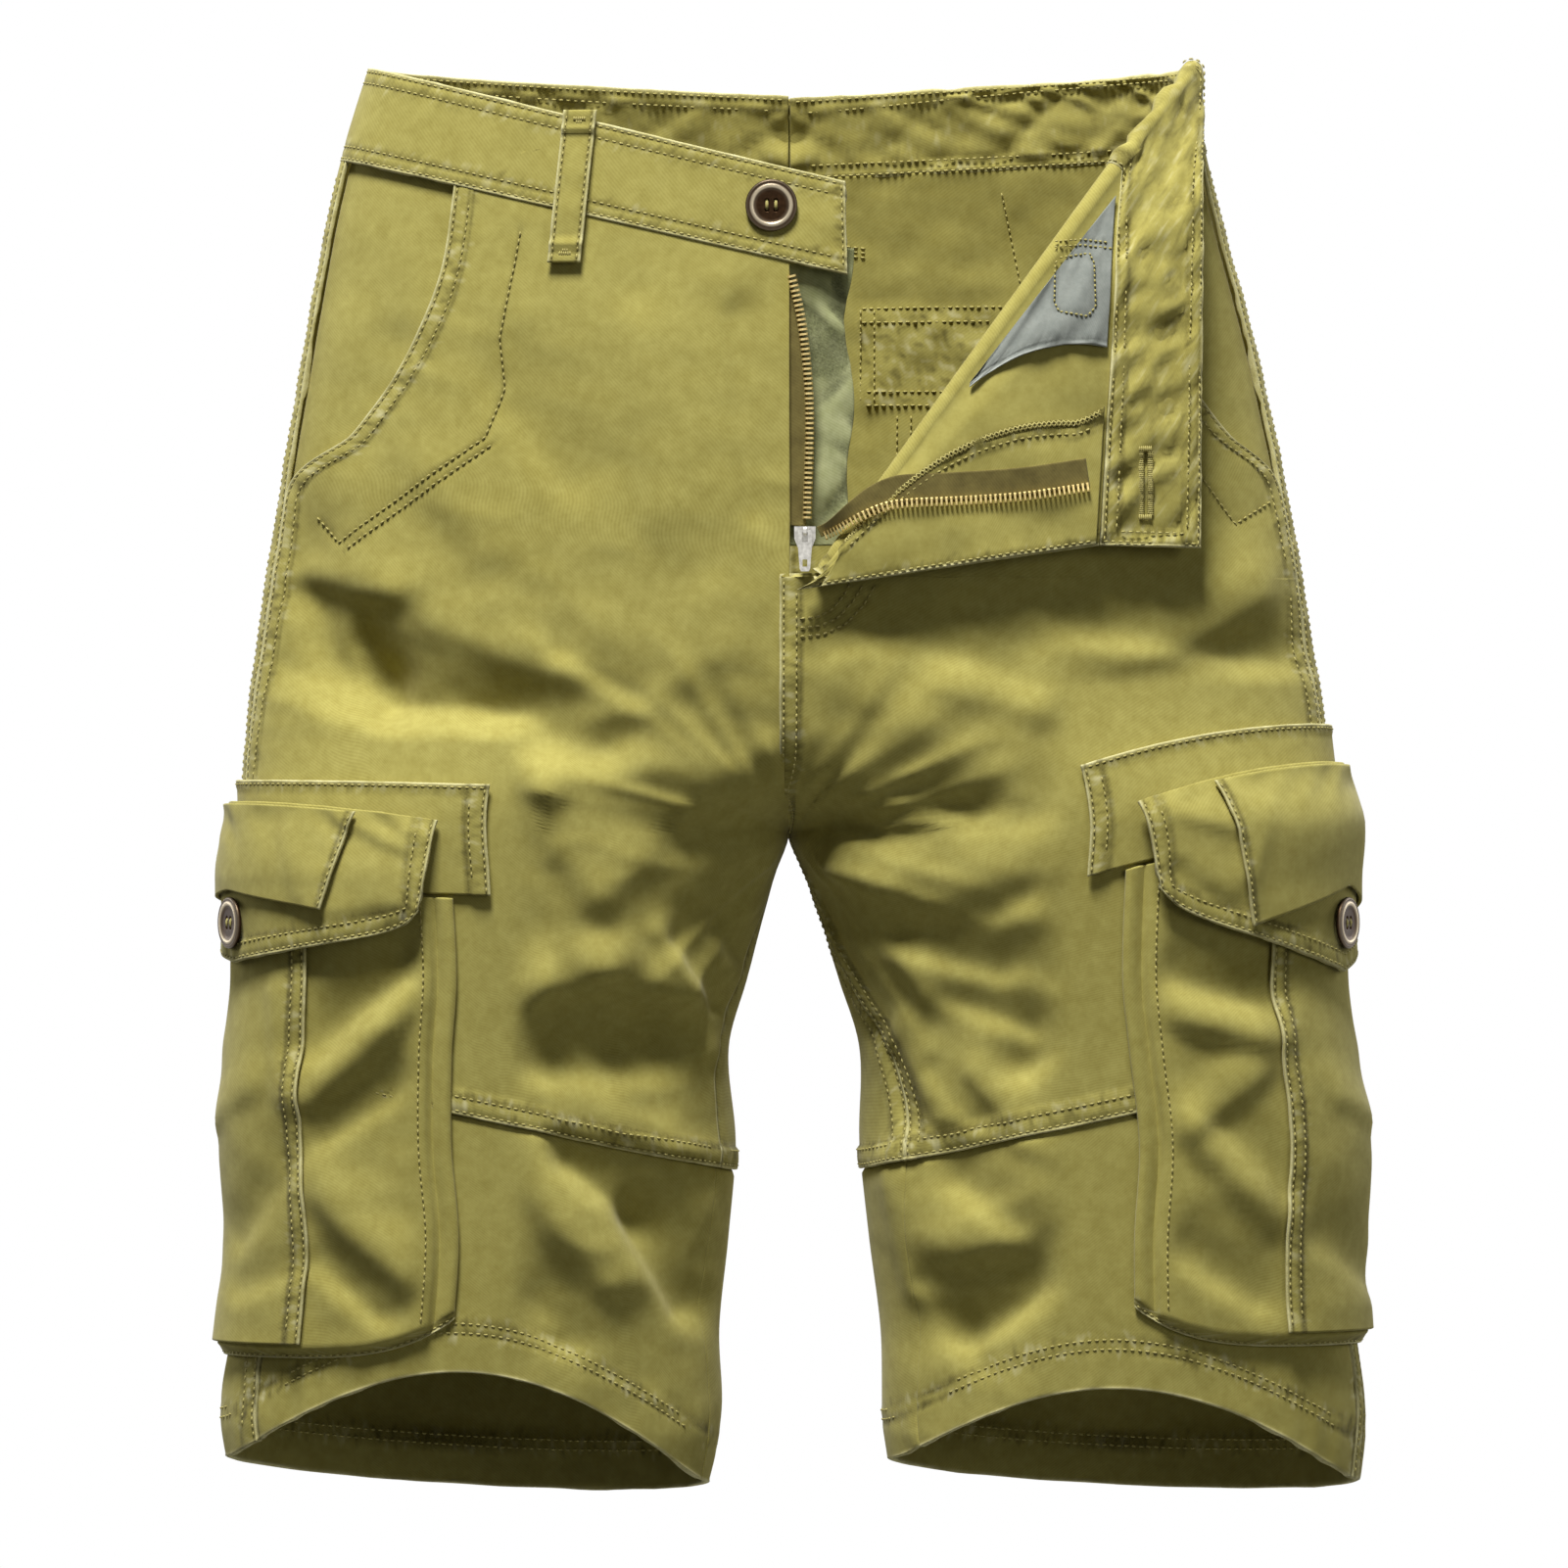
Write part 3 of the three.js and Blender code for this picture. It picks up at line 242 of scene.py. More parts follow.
# Sewing thread
# Cotton-wrapped polyester, dyed with the garment, a little yellower than the cloth. Its twist is too fine to
# show and is drawn 0.5 mm apart. Each stitch is a spindle of its own.
THREAD, shader = new_material("twisted_sewing_thread")
place = add_node(THREAD, "ShaderNodeTexCoord").outputs["Object"]
tone = add_mix(THREAD, add_noise(THREAD, place, 2000, 1), "#8f8543", "#c0b674")
set_shader(THREAD, shader, Base_Color=tone, Roughness=0.7, Specular_IOR_Level=0.3)
STITCH_PITCH, STITCH_LENGTH, STITCH_WIDTH, STITCH_HEIGHT = 3.2, 2.4, 0.8, 0.4


def mix(a, b, t):
    """The value a share t of the way from a to b."""
    return a + (b - a) * t


def trace(sheet, edge, away):
    """The line on a sheet at a distance from one edge, with its normals, where no other edge is nearer."""
    names = ("left", "right", "top", "bottom", "points", "normals")
    fields = {name: getattr(sheet, name) for name in names}
    if edge in ("top", "bottom"):
        fields = {name: field.swapaxes(0, 1) for name, field in fields.items()}
    if edge in ("right", "bottom"):
        fields = {name: field[:, ::-1] for name, field in fields.items()}
    field = fields[edge]
    lines, after = np.arange(len(field)), np.maximum(np.argmax(field > away, axis=1), 1)
    share = (away - field[lines, after - 1]) / (field[lines, after] - field[lines, after - 1])

    def pick(name):
        a = fields[name]
        return mix(a[lines, after - 1], a[lines, after], share if a.ndim == 2 else share[:, None])

    others = ("top", "bottom") if edge in ("left", "right") else ("left", "right")
    clear = np.minimum(pick(others[0]), pick(others[1])) >= 0.9 * away
    return pick("points")[clear], pick("normals")[clear]


def rows_along(sheet, **edges):
    """The stitch rows of a sheet: for each edge, the lines at its distances."""
    return [trace(sheet, edge, away) for edge, rows in edges.items() for away in rows]


def inner(lines, depth=CLOTH):
    """Lines moved through the cloth to its other face."""
    return [(points - normals * (depth + 0.05), -normals) for points, normals in lines]


def copies(name, shape, faces, middle, along, side, up, material, slot):
    """One mesh of equal small parts: shape is points along, across and up from each middle."""
    points = middle[:, None] + sum(shape[None, :, k:k + 1] * way[:, None]
                                   for k, way in enumerate((along, side, up)))
    first_corners = np.arange(len(middle))[:, None, None] * len(shape)
    faces = (first_corners + np.array(faces)[None]).reshape(-1, len(faces[0]))
    mesh = bpy.data.meshes.new(name)
    mesh.from_pydata(points.reshape(-1, 3) / 1000, [], faces)
    mesh.polygons.foreach_set("use_smooth", np.full(len(faces), len(faces[0]) == 3))
    mesh.materials.append(material)
    piece = bpy.data.objects.new(name, mesh)
    bpy.context.collection.objects.link(piece)
    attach(piece, "garment")
    return piece


def length_along(points):
    """The distance from a line's start to each of its points, as a running sum."""
    return np.concatenate([[0], np.cumsum(np.linalg.norm(np.diff(points, axis=0), axis=1))])


def at_lengths(field, length, at):
    """A line's field at distances from its start, one column after another."""
    return np.stack([np.interp(at, length, column) for column in field.T], axis=1)


def frames_along(lines, pitch):
    """Places a pitch apart along lines, with the way along, across and up at each."""
    ahead_by = 0.7
    middles, alongs, ups = [], [], []
    for points, normals in lines:
        length = length_along(points)
        if length[-1] < 2 * pitch:
            continue
        at = np.arange(pitch / 2, length[-1], pitch)
        middles.append(at_lengths(points, length, at))
        alongs.append(at_lengths(points, length, at + ahead_by) - at_lengths(points, length, at - ahead_by))
        ups.append(at_lengths(normals, length, at))
    middle, along, up = (np.concatenate(field) for field in (middles, alongs, ups))
    along = along / np.maximum(np.linalg.norm(along, axis=1, keepdims=True), 1e-9)
    side = np.cross(up, along)
    return middle, along, side / np.maximum(np.linalg.norm(side, axis=1, keepdims=True), 1e-9), up


def sew(name, lines, pitch=STITCH_PITCH, length=STITCH_LENGTH, slant=0):
    """A spindle of thread for each pitch of each line, turned by slant, its ends sunk in the cloth."""
    middle, along, side, up = frames_along(lines, pitch)
    along, side = along * np.cos(slant) + side * np.sin(slant), side * np.cos(slant) - along * np.sin(slant)
    turn_by = np.arange(6) * np.pi / 3
    ring = np.stack([0 * turn_by, np.cos(turn_by), np.sin(turn_by)], axis=1)
    spindle = np.concatenate([
        [(-1, 0, -0.5)],
        ring + (-0.45, 0, 0.25),
        ring + (0.45, 0, 0.25),
        [(1, 0, -0.5)],
    ])
    k, after = np.arange(6), (np.arange(6) + 1) % 6
    faces = np.concatenate([
        np.stack([0 * k, 1 + after, 1 + k], axis=1),
        np.stack([1 + k, 1 + after, 7 + after], axis=1),
        np.stack([1 + k, 7 + after, 7 + k], axis=1),
        np.stack([0 * k + 13, 7 + k, 7 + after], axis=1),
    ])
    size = (length / 2, STITCH_WIDTH / 2, STITCH_HEIGHT)
    return copies(name, spindle * size, faces, middle, along, side, up, THREAD, "twill")


# Right front panel
# One layer of twill from the waistband to the knee seam. Its slanted edge is the hand pocket's mouth, turned
# in and stitched twice, and its inseam and centre seam are felled.
GAP = 0.3
UNDER_BAND = 1.5
FELL_ROWS = (1.8, 8.0)
# where the legs begin to part and where they have parted, and how late the parting comes
FORK_TOP, CROTCH, FORK_CURVE = -200, -328, 3.9
RIGHT = SimpleNamespace(
    sign=-1, band_top=0, band_seam=-40, hem_arch=44, hem_tilt=5.5, patch_top=-305,
    # height, then the outer and inner edge, the depths, and the turn of the side seam and the inseam
    sections=np.array([
        (0, 180, 0, 62, 62, 10, 0),
        (-40, 192, 0, 65, 68, 10, 0),
        (-75, 200, 0, 68, 74, 10, 0),
        (-120, 208, 0, 71, 79, 10, 0),
        (-185, 219, 0, 73, 83, 10, 0),
        (-245, 228, 0, 73, 84, 10, 0),
        (-300, 234, 0, 72, 81, 10, 0),
        (-328, 234, 0, 71, 77, 11, 0),
        (-345, 233, 6, 70, 74, 12, 4),
        (-390, 232, 18, 67, 68, 14, 14),
        (-420, 235, 26, 65, 65, 16, 20),
        (-460, 237, 23, 63, 62, 20, 22),
        (-500, 235, 26, 61, 60, 25, 22),
        (-540, 239, 30, 59, 58, 30, 20),
        (-575, 244, 29, 57, 56, 32, 18),
        (-609, 239, 35, 56, 55, 32, 16),
    ], float),
    # folds from (x, z) to (x, z), with their width and rise
    front_folds=np.array([
        (165, -268, 124, -285, 16, -8),
        (124, -285, 80, -291, 15, -8),
        (148, -238, 96, -258, 15, 4),
        (144, -300, 104, -308, 9, 4),
        (184, -248, 172, -280, 9, -6),
        (172, -280, 146, -292, 8, -5),
        (212, -214, 190, -262, 17, -9),
        (222, -214, 170, -224, 11, 4.5),
        (216, -254, 180, -262, 12, -4),
        (14, -340, 40, -350, 11, 3),
        (8, -310, 44, -315, 16, 3),
        (122, -138, 92, -176, 15, -2.5),
        (150, -176, 128, -204, 16, 2.5),
        (60, -120, 52, -190, 18, 2.5),
        (22, -110, 14, -190, 9, -2),
        (170, -120, 182, -160, 12, -2),
        (96, -250, 66, -268, 9, -4),
        (14, -278, 56, -310, 16, -2.5),
        (30, -246, 76, -278, 16, 2.5),
        (118, -299, 81, -352, 14, 4),
        (44, -312, 81, -352, 14, 3.5),
        (150, -302, 132, -338, 13, 3),
        (28, -322, 6, -344, 12, 2),
        (127, -361, 117, -384, 7, -3.5),
        (28, -367, 12, -388, 8, -3.5),
        (128, -412, 108, -393, 12, 4),
        (108, -393, 80, -385, 12, 5),
        (80, -385, 52, -394, 12, 5),
        (52, -394, 34, -418, 11, 4),
        (112, -424, 60, -419, 15, -8),
        (48, -374, 32, -401, 6, -3.5),
        (56, -370, 42, -398, 7, 2.5),
        (92, -466, 64, -492, 10, -6.5),
        (64, -492, 44, -528, 11, -7),
        (116, -468, 78, -516, 13, 6),
        (142, -478, 112, -524, 12, -5),
        (120, -530, 98, -543, 9, -4),
        (72, -454, 50, -462, 8, 3),
        (108, -448, 96, -470, 6, -2.5),
        (170, -470, 150, -520, 10, 3),
    ], float),
    back_folds=np.array([
        (150, -298, 84, -310, 14, -6),
        (56, -290, 34, -318, 13, -5),
        (92, -330, 118, -372, 16, 6),
        (56, -392, 118, -404, 15, -7),
        (70, -470, 118, -512, 12, -6),
        (112, -462, 150, -500, 13, 5),
    ], float),
)
LEFT = SimpleNamespace(
    sign=1, band_top=-1, band_seam=-37, hem_arch=37, hem_tilt=-4.7, patch_top=-281,
    sections=np.array([
        (0, 171, 0, 62, 62, 10, 0),
        (-40, 179, 0, 65, 68, 10, 0),
        (-75, 188, 0, 68, 74, 10, 0),
        (-120, 200, 0, 71, 79, 10, 0),
        (-185, 214, 0, 73, 83, 10, 0),
        (-245, 224, 0, 73, 84, 10, 0),
        (-300, 232, 0, 72, 81, 10, 0),
        (-328, 233, 0, 71, 77, 10, 0),
        (-345, 232, 7, 70, 74, 10, 4),
        (-390, 232, 21, 67, 68, 11, 16),
        (-420, 236, 30, 65, 65, 12, 28),
        (-460, 242, 30, 63, 62, 13, 36),
        (-500, 241, 34, 61, 60, 14, 34),
        (-540, 243, 39, 59, 58, 15, 32),
        (-575, 247, 40, 57, 56, 16, 31),
        (-609, 244, 44, 56, 55, 17, 31),
    ], float),
    front_folds=np.array([
        (217, -262, 172, -288, 15, -6.5),
        (172, -288, 126, -314, 14, -6),
        (126, -314, 98, -352, 12, -5),
        (196, -226, 120, -270, 16, 4),
        (160, -304, 126, -336, 12, 4.5),
        (8, -298, 34, -324, 12, -2.5),
        (24, -262, 60, -282, 16, 1.5),
        (40, -238, 106, -262, 13, -3),
        (118, -234, 188, -252, 13, -3.5),
        (66, -262, 140, -284, 13, 3),
        (10, -338, 44, -348, 12, 4),
        (8, -306, 48, -313, 17, 4.5),
        (46, -306, 78, -318, 11, -3.5),
        (26, -345, 60, -394, 11, 5.5),
        (48, -372, 88, -384, 10, -5),
        (50, -356, 124, -336, 15, 6),
        (68, -396, 100, -409, 9, -4),
        (100, -426, 132, -406, 10, -6),
        (49, -412, 65, -447, 8, 3),
        (116, -389, 136, -384, 7, -3),
        (80, -430, 92, -446, 6, 2),
        (63, -428, 78, -450, 5, -2),
        (44, -424, 50, -452, 5, -2.5),
        (20, -392, 34, -412, 8, -3),
        (100, -358, 132, -372, 12, 3),
        (72, -476, 96, -492, 10, -5),
        (72, -502, 118, -486, 13, 5),
        (76, -538, 136, -502, 12, -7.5),
        (100, -458, 128, -470, 9, 3),
        (44, -470, 56, -520, 10, 3.5),
        (60, -520, 80, -552, 9, -3),
    ], float),
    back_folds=np.array([
        (150, -296, 96, -312, 14, -6),
        (34, -290, 62, -312, 13, -5),
        (60, -330, 120, -362, 16, 6),
        (62, -404, 126, -390, 15, -7),
        (66, -508, 120, -474, 12, -6),
    ], float),
)
# the mouth's edge: height and distance from the centre
HAND_POCKET = np.array([(-50, 142), (-92, 149), (-126, 164), (-149, 180), (-168, 196), (-185, 211)], float)


def smooth(t):
    """Rise from 0 to 1 as t does, level at both ends: t squared times (3 - 2t)."""
    t = np.clip(t, 0, 1)
    return t * t * (3 - 2 * t)


def noise(x, y, seed):
    """Value noise: a repeatable number from -1 to 1 at each whole (x, y), blended smoothly in between."""
    x, y = np.broadcast_arrays(x, y)
    i, j = np.floor(x), np.floor(y)

    def corner(a, b):
        wave = np.sin(a * 127.1 + b * 311.7 + seed * 74.7) * 4375.85453
        return 2 * (wave - np.floor(wave)) - 1

    low = mix(corner(i, j), corner(i + 1, j), smooth(x - i))
    high = mix(corner(i, j + 1), corner(i + 1, j + 1), smooth(x - i))
    return mix(low, high, smooth(y - j))


def curve(table, column, z):
    """A column of a table with falling heights, as a smooth curve: cubic pieces with the mean slopes."""
    heights, values = table[:, 0], table[:, column]
    last = len(heights) - 1
    before, after = np.maximum(np.arange(last + 1) - 1, 0), np.minimum(np.arange(last + 1) + 1, last)
    slopes = (values[after] - values[before]) / (heights[after] - heights[before])
    z = np.clip(z, heights[-1], heights[0])
    i = np.clip(np.searchsorted(-heights, -z) - 1, 0, last - 1)
    step = heights[i + 1] - heights[i]
    t = (z - heights[i]) / step
    return (values[i] * (1 + 2 * t) * (1 - t) ** 2 + slopes[i] * step * t * (1 - t) ** 2
            + values[i + 1] * t * t * (3 - 2 * t) + slopes[i + 1] * step * t * t * (t - 1))


def section(side, z):
    """One side's outline at a height: an ellipse arc from angle 0 at the side to its end at the centre."""
    z = np.asarray(z, float)
    outer, inner, front, back, seam, twist = (curve(side.sections, k, z) for k in range(1, 7))
    inner = np.maximum(GAP / 2, np.where(z > CROTCH, 0, inner))
    end = np.pi / 2 * (1 + np.clip((FORK_TOP - z) / (FORK_TOP - CROTCH), 0, 1) ** FORK_CURVE)
    half = (outer - inner) / (1 - np.cos(end))
    inseam = end - np.radians(np.where(z > CROTCH, 0, twist))
    return SimpleNamespace(half=half, middle=outer - half, front=front, back=back, end=end,
                           seam=np.radians(seam), inseam=inseam)


def fold_height(folds, x, z):
    """The sum of the folds: for each, its rise times a bell curve of the distance from its line over its
    width. The side below the line is the steeper one."""
    wander = 1.4 * noise(x / 23, z / 23, 5)
    total = 0
    for x1, z1, x2, z2, width, rise in folds:
        dx, dz = x2 - x1, z2 - z1
        t = np.clip(((x - x1) * dx + (z - z1) * dz) / (dx * dx + dz * dz), 0, 1)
        away = np.hypot(x - x1 - t * dx, z - z1 - t * dz) + wander
        below = ((x - x1) * dz - (z - z1) * dx) / np.hypot(dx, dz) * np.sign(dx)
        steep = 1 - 0.35 * np.tanh(below / width * 1.5)
        total = total + rise * np.exp(-((away / (width * steep)) ** 2))
    return total


def wrinkles(side, x, z):
    """The cloth's own small unevenness: noise at three sizes, strongest round the crotch and the knees, and
    creases that fan out from the crotch."""
    near_crotch = np.exp(-((z + 300) / 70) ** 2)
    near_knee = np.exp(-((z + 470) / 90) ** 2)
    strength = 0.35 + 0.9 * near_crotch + 0.7 * near_knee
    across, down = x + 0.35 * z, z - 0.2 * x
    broad = noise(across / 38, down / 26, 11 + side.sign)
    small = noise(across / 15, down / 11, 17 + side.sign)
    crease = 1 - 2 * np.abs(noise(across / 30, down / 19, 29 + side.sign))
    bearing, reach = np.arctan2(z - CROTCH, x), np.hypot(x, z - CROTCH)
    fan = 1 - 2 * np.abs(noise(bearing * 5.5, reach / 70, 33 + side.sign))
    fanned = 1.5 * fan * smooth(reach / 25) * np.exp(-((reach / 105) ** 2))
    return smooth((-z - 48) / 25) * (strength * (1.1 * broad + 0.45 * small + 0.6 * crease) + fanned)


def skin(side, angle, z, lift=0.0):
    """A point of the outer face: on the ellipse of its height, moved out by its folds and by lift."""
    angle, z, lift = np.broadcast_arrays(angle, np.asarray(z, float), lift)
    s = section(side, z)
    across, towards = np.cos(angle), np.sin(angle)
    depth = np.where(towards > 0, s.front, s.back)
    x = s.middle + s.half * across
    folds = np.where(towards > 0, fold_height(side.front_folds, x, z), fold_height(side.back_folds, x, z))
    folds = folds + wrinkles(side, np.where(towards > 0, x, -x), z)
    held = smooth((x - 100) / 20) * smooth((side.patch_top + 32 - z) / 16)
    out = lift + folds * smooth(np.abs(towards) / 0.45) * (1 - held)
    length = np.hypot(depth * across, s.half * towards)
    return np.stack([side.sign * (x + out * depth * across / length),
                     -depth * towards - out * s.half * towards / length, z], axis=-1)


def angle_at_x(side, x, z):
    """The angle, towards the front, at a distance from the centre plane."""
    s = section(side, z)
    return np.arccos(np.clip((x - s.middle) / s.half, -1, 1))


# how far the waistband drops from the side to the centre
DROP_IN_FRONT, DROP_BEHIND = 46, 8


def band_edge(side, angle, at_top):
    """The waistband's top or bottom edge: it drops from the side to the centre by the turn of the angle."""
    drop = np.where(np.sin(angle) > 0, DROP_IN_FRONT, DROP_BEHIND)
    return (side.band_top if at_top else side.band_seam) - drop * (1 - np.cos(angle))


KNEE_SEAM, KNEE_FALL = -426, 0.22


def knee_seam(side, angle):
    """The knee seam falls from its height at the side by a part of the way to the inseam."""
    return KNEE_SEAM - KNEE_FALL * section(side, KNEE_SEAM).half * (1 - np.cos(angle))


def crossing(side, start, end, u, edge):
    """The height where a line down a panel, at share u of its width, meets an edge, in a few steps."""
    z = edge(side, 0) + 0 * u
    for _ in range(6):
        s = section(side, z)
        z = edge(side, mix(start(s, z), end(s, z), u))
    return z


def side_seam(s, z):
    """The side seam's angle at a height's section."""
    return s.seam


def front_inseam(s, z):
    """The inseam's angle, counted round the front."""
    return s.inseam


def front_start(side, z):
    """Where a front panel starts: at the hand pocket's mouth, and below that at the side seam."""
    seam = section(side, z).seam
    mouth = angle_at_x(side, curve(HAND_POCKET, 1, z), z)
    return mix(np.maximum(seam, mouth), seam, smooth((-158 - z) / 27))


def lap(t, share=0.001):
    """A share of a panel's width that reaches a little into the seam at each end."""
    return mix(-share, 1 + share, t)


def stations(length, step, near=(0, 0.3, 0.9, 1.8, 2.8, 4.5, 6.6, 8, 9.2, 11.5)):
    """Shares of a length in mm: close together near both edges, for the turnings, steps apart between."""
    near = np.array(near)
    near = near[near < 0.45 * length]
    steps = max(1, round((length - 2 * near[-1]) / step))
    between = np.linspace(near[-1], length - near[-1], steps + 1)[1:-1]
    return np.concatenate([near, between, length - near[::-1]]) / length


PAINTED = ("wear", "painted_shade", "pucker_down", "pucker_across")


def lay(at, width, length, step, facing):
    """A sheet of cloth from at(u, v), with each point's normal and its distances from the four edges."""
    u, v = np.meshgrid(stations(width, step), stations(length, step))
    return measure(at(u, v), facing)


def measure(points, facing):
    """Normals by the cross product of neighbours' differences, and distances summed along rows and
    columns."""
    normals = np.cross(np.gradient(points, axis=1), np.gradient(points, axis=0))
    normals *= facing / np.maximum(np.linalg.norm(normals, axis=2, keepdims=True), 1e-9)
    across = np.linalg.norm(np.diff(points, axis=1), axis=2)
    down = np.linalg.norm(np.diff(points, axis=0), axis=2)
    left = np.pad(np.cumsum(across, axis=1), ((0, 0), (1, 0)))
    top = np.pad(np.cumsum(down, axis=0), ((1, 0), (0, 0)))
    sheet = SimpleNamespace(points=points, normals=normals, facing=facing, left=left, top=top,
                            right=left[:, -1:] - left, bottom=top[-1:] - top,
                            thickness=np.full(left.shape, CLOTH))
    for field in PAINTED:
        setattr(sheet, field, np.zeros(left.shape))
    return sheet


def lift_by(sheet, height):
    """Move a sheet's points out along their normals."""
    sheet.points = sheet.points + sheet.normals * np.asarray(height)[..., None]


def emboss(sheet, height, inside=False):
    """Raise a sheet's outer face with all behind it, or its inner face alone where that one shows."""
    if inside:
        sheet.thickness = sheet.thickness + height
    else:
        lift_by(sheet, height)


def inner_face(sheet):
    """A sheet's inner face, as far as lines are laid on it."""
    return SimpleNamespace(points=sheet.points - sheet.normals * sheet.thickness[..., None])


def turned_edge(sheet, edge, rows=FELL_ROWS, raised=0.5, pucker=0.45, reach=5.0, seed=1, inside=False):
    """Finish an edge as turned in and sewn: doubled as far as its last row, sunk along each stitch row,
    puckered across the rows and a little beyond, worn pale along its rounded rim, and darkened with painted
    shade in each stitch row and in the step where the doubled part ends."""
    away = getattr(sheet, edge)
    along = sheet.top if edge in ("left", "right") else sheet.left
    width = max(rows) + 1.2
    ripple = noise(along / 7, 0.05 * away, seed)
    fade = np.where(away < width, smooth(away / 1.6), np.exp(-(away - width) / reach))
    height = raised * smooth((width + 0.5 - away) / 1.1) + pucker * ripple * fade
    for row in rows:
        height = height - 0.35 * np.exp(-((away - row) / 0.7) ** 2)
        # painted shade along each stitch row
        sheet.painted_shade = np.maximum(sheet.painted_shade, 0.8 * np.exp(-((away - row) / 0.6) ** 2))
    emboss(sheet, height, inside)
    field = "pucker_down" if edge in ("left", "right") else "pucker_across"
    near_row = sum(np.exp(-((away - row) / 4.5) ** 2) for row in rows)
    strength = np.minimum(fade, near_row) * min(1, pucker / 0.45)
    setattr(sheet, field, np.maximum(getattr(sheet, field), strength))
    # painted shade in the step just beyond the doubled part, where its edge stands proud
    step = np.exp(-((away - width - 0.5) / 0.8) ** 2) * raised
    sheet.painted_shade = np.maximum(sheet.painted_shade, np.clip(step, 0, 0.7))
    sheet.wear = np.maximum(sheet.wear, np.exp(-((away - 0.4) / 0.7) ** 2))


# the share of the thickness that each corner of a rim gives up
CORNER_CUT = 0.304


def joined(sheets, field):
    """A field of several sheets, one after another, with one entry a point."""
    fields = [getattr(sheet, field) for sheet in sheets]
    return np.concatenate([values.reshape(-1, *values.shape[2:]) for values in fields])


def shell(name, sheets, material, replaced):
    """A closed cloth wall. The sheets are its outer face, welded where they share points; its inner face
    lies a thickness behind, and a rim joins them along every free edge, with both corners rounded."""
    sizes = [sheet.points.shape[:2] for sheet in sheets]
    starts = np.cumsum([0] + [rows * columns for rows, columns in sizes])
    quads = []
    for sheet, (rows, columns), start in zip(sheets, sizes, starts):
        k = start + np.arange(rows * columns).reshape(rows, columns)
        a, b, c, d = k[:-1, :-1], k[:-1, 1:], k[1:, 1:], k[1:, :-1]
        corners = (a, b, c, d) if sheet.facing > 0 else (a, d, c, b)
        quads.append(np.stack(corners, axis=-1).reshape(-1, 4))
    quads = np.concatenate(quads)
    points = joined(sheets, "points")
    _, first, weld = np.unique(np.round(points, 3), axis=0, return_index=True, return_inverse=True)
    weld = weld.ravel()
    faces = weld[quads]
    outer = points[first]
    diagonals = np.cross(outer[faces[:, 2]] - outer[faces[:, 0]], outer[faces[:, 3]] - outer[faces[:, 1]])
    normals = np.zeros_like(outer)
    for corner in range(4):
        np.add.at(normals, faces[:, corner], diagonals)
    normals /= np.maximum(np.linalg.norm(normals, axis=1, keepdims=True), 1e-9)
    thickness = joined(sheets, "thickness")[first]
    count = len(outer)
    edges = np.stack([faces, np.roll(faces, -1, axis=1)], axis=-1).reshape(-1, 2)
    codes = edges[:, 0] * count + edges[:, 1]
    free = edges[~np.isin(codes, edges[:, 1] * count + edges[:, 0])]
    ends = np.unique(free)
    corner_cut = np.zeros(count)
    corner_cut[ends] = CORNER_CUT
    outer_face = outer - normals * (corner_cut * thickness)[:, None]
    inner_face = outer - normals * (thickness * (1 - corner_cut))[:, None]
    rim = np.stack([free[:, 1], free[:, 0], free[:, 0] + count, free[:, 1] + count], axis=1)
    all_faces = np.concatenate([faces, faces[:, ::-1] + count, rim])
    mesh = bpy.data.meshes.new(name)
    mesh.from_pydata(np.concatenate([outer_face, inner_face]) / 1000, [], all_faces)
    mesh.polygons.foreach_set("use_smooth", np.ones(len(all_faces), bool))
    for field in PAINTED:
        values = joined(sheets, field)[first]
        mesh.attributes.new(field, "FLOAT", "POINT").data.foreach_set("value", np.tile(values, 2))
    flat = np.stack([joined(sheets, "left"), joined(sheets, "top")], axis=1) / 1000
    rim_flat = np.tile(flat[first[free[:, :1]]], (1, 4, 1))
    by_corner = np.concatenate([flat[quads], flat[quads][:, ::-1], rim_flat])
    mesh.uv_layers.new(name="cloth").data.foreach_set("uv", by_corner.ravel())
    mesh.materials.append(material)
    piece = bpy.data.objects.new(name, mesh)
    bpy.context.collection.objects.link(piece)
    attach(piece, "garment")
    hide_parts(*replaced)
    return piece


def drawn(side, places, lift=0.1):
    """A line on a front through places (x, z), with its normals, at steps of about 1.5 mm."""
    x, z = fine(places).T
    angle = angle_at_x(side, x, z)
    points = skin(side, angle, z, lift)
    return points, skin(side, angle, z, lift + 1) - points


def onto(sheet, places, lift):
    """A line through places (x, z) just in front of a sheet: each place takes its nearest point's depth."""
    places = fine(places)
    x, y, z = (sheet.points[..., k].ravel() for k in range(3))
    nearest = np.argmin((x[None] - places[:, :1]) ** 2 + (z[None] - places[:, 1:]) ** 2, axis=1)
    points = np.stack([places[:, 0], y[nearest] - lift, places[:, 1]], axis=1)
    return points, np.tile([[0, -1.0, 0]], (len(points), 1))


def fine(places):
    """Places (x, z) with steps of about 1.5 mm put in between."""
    places = np.array(places, float)
    length = length_along(places)
    return at_lengths(places, length, np.arange(0, length[-1], 1.5))


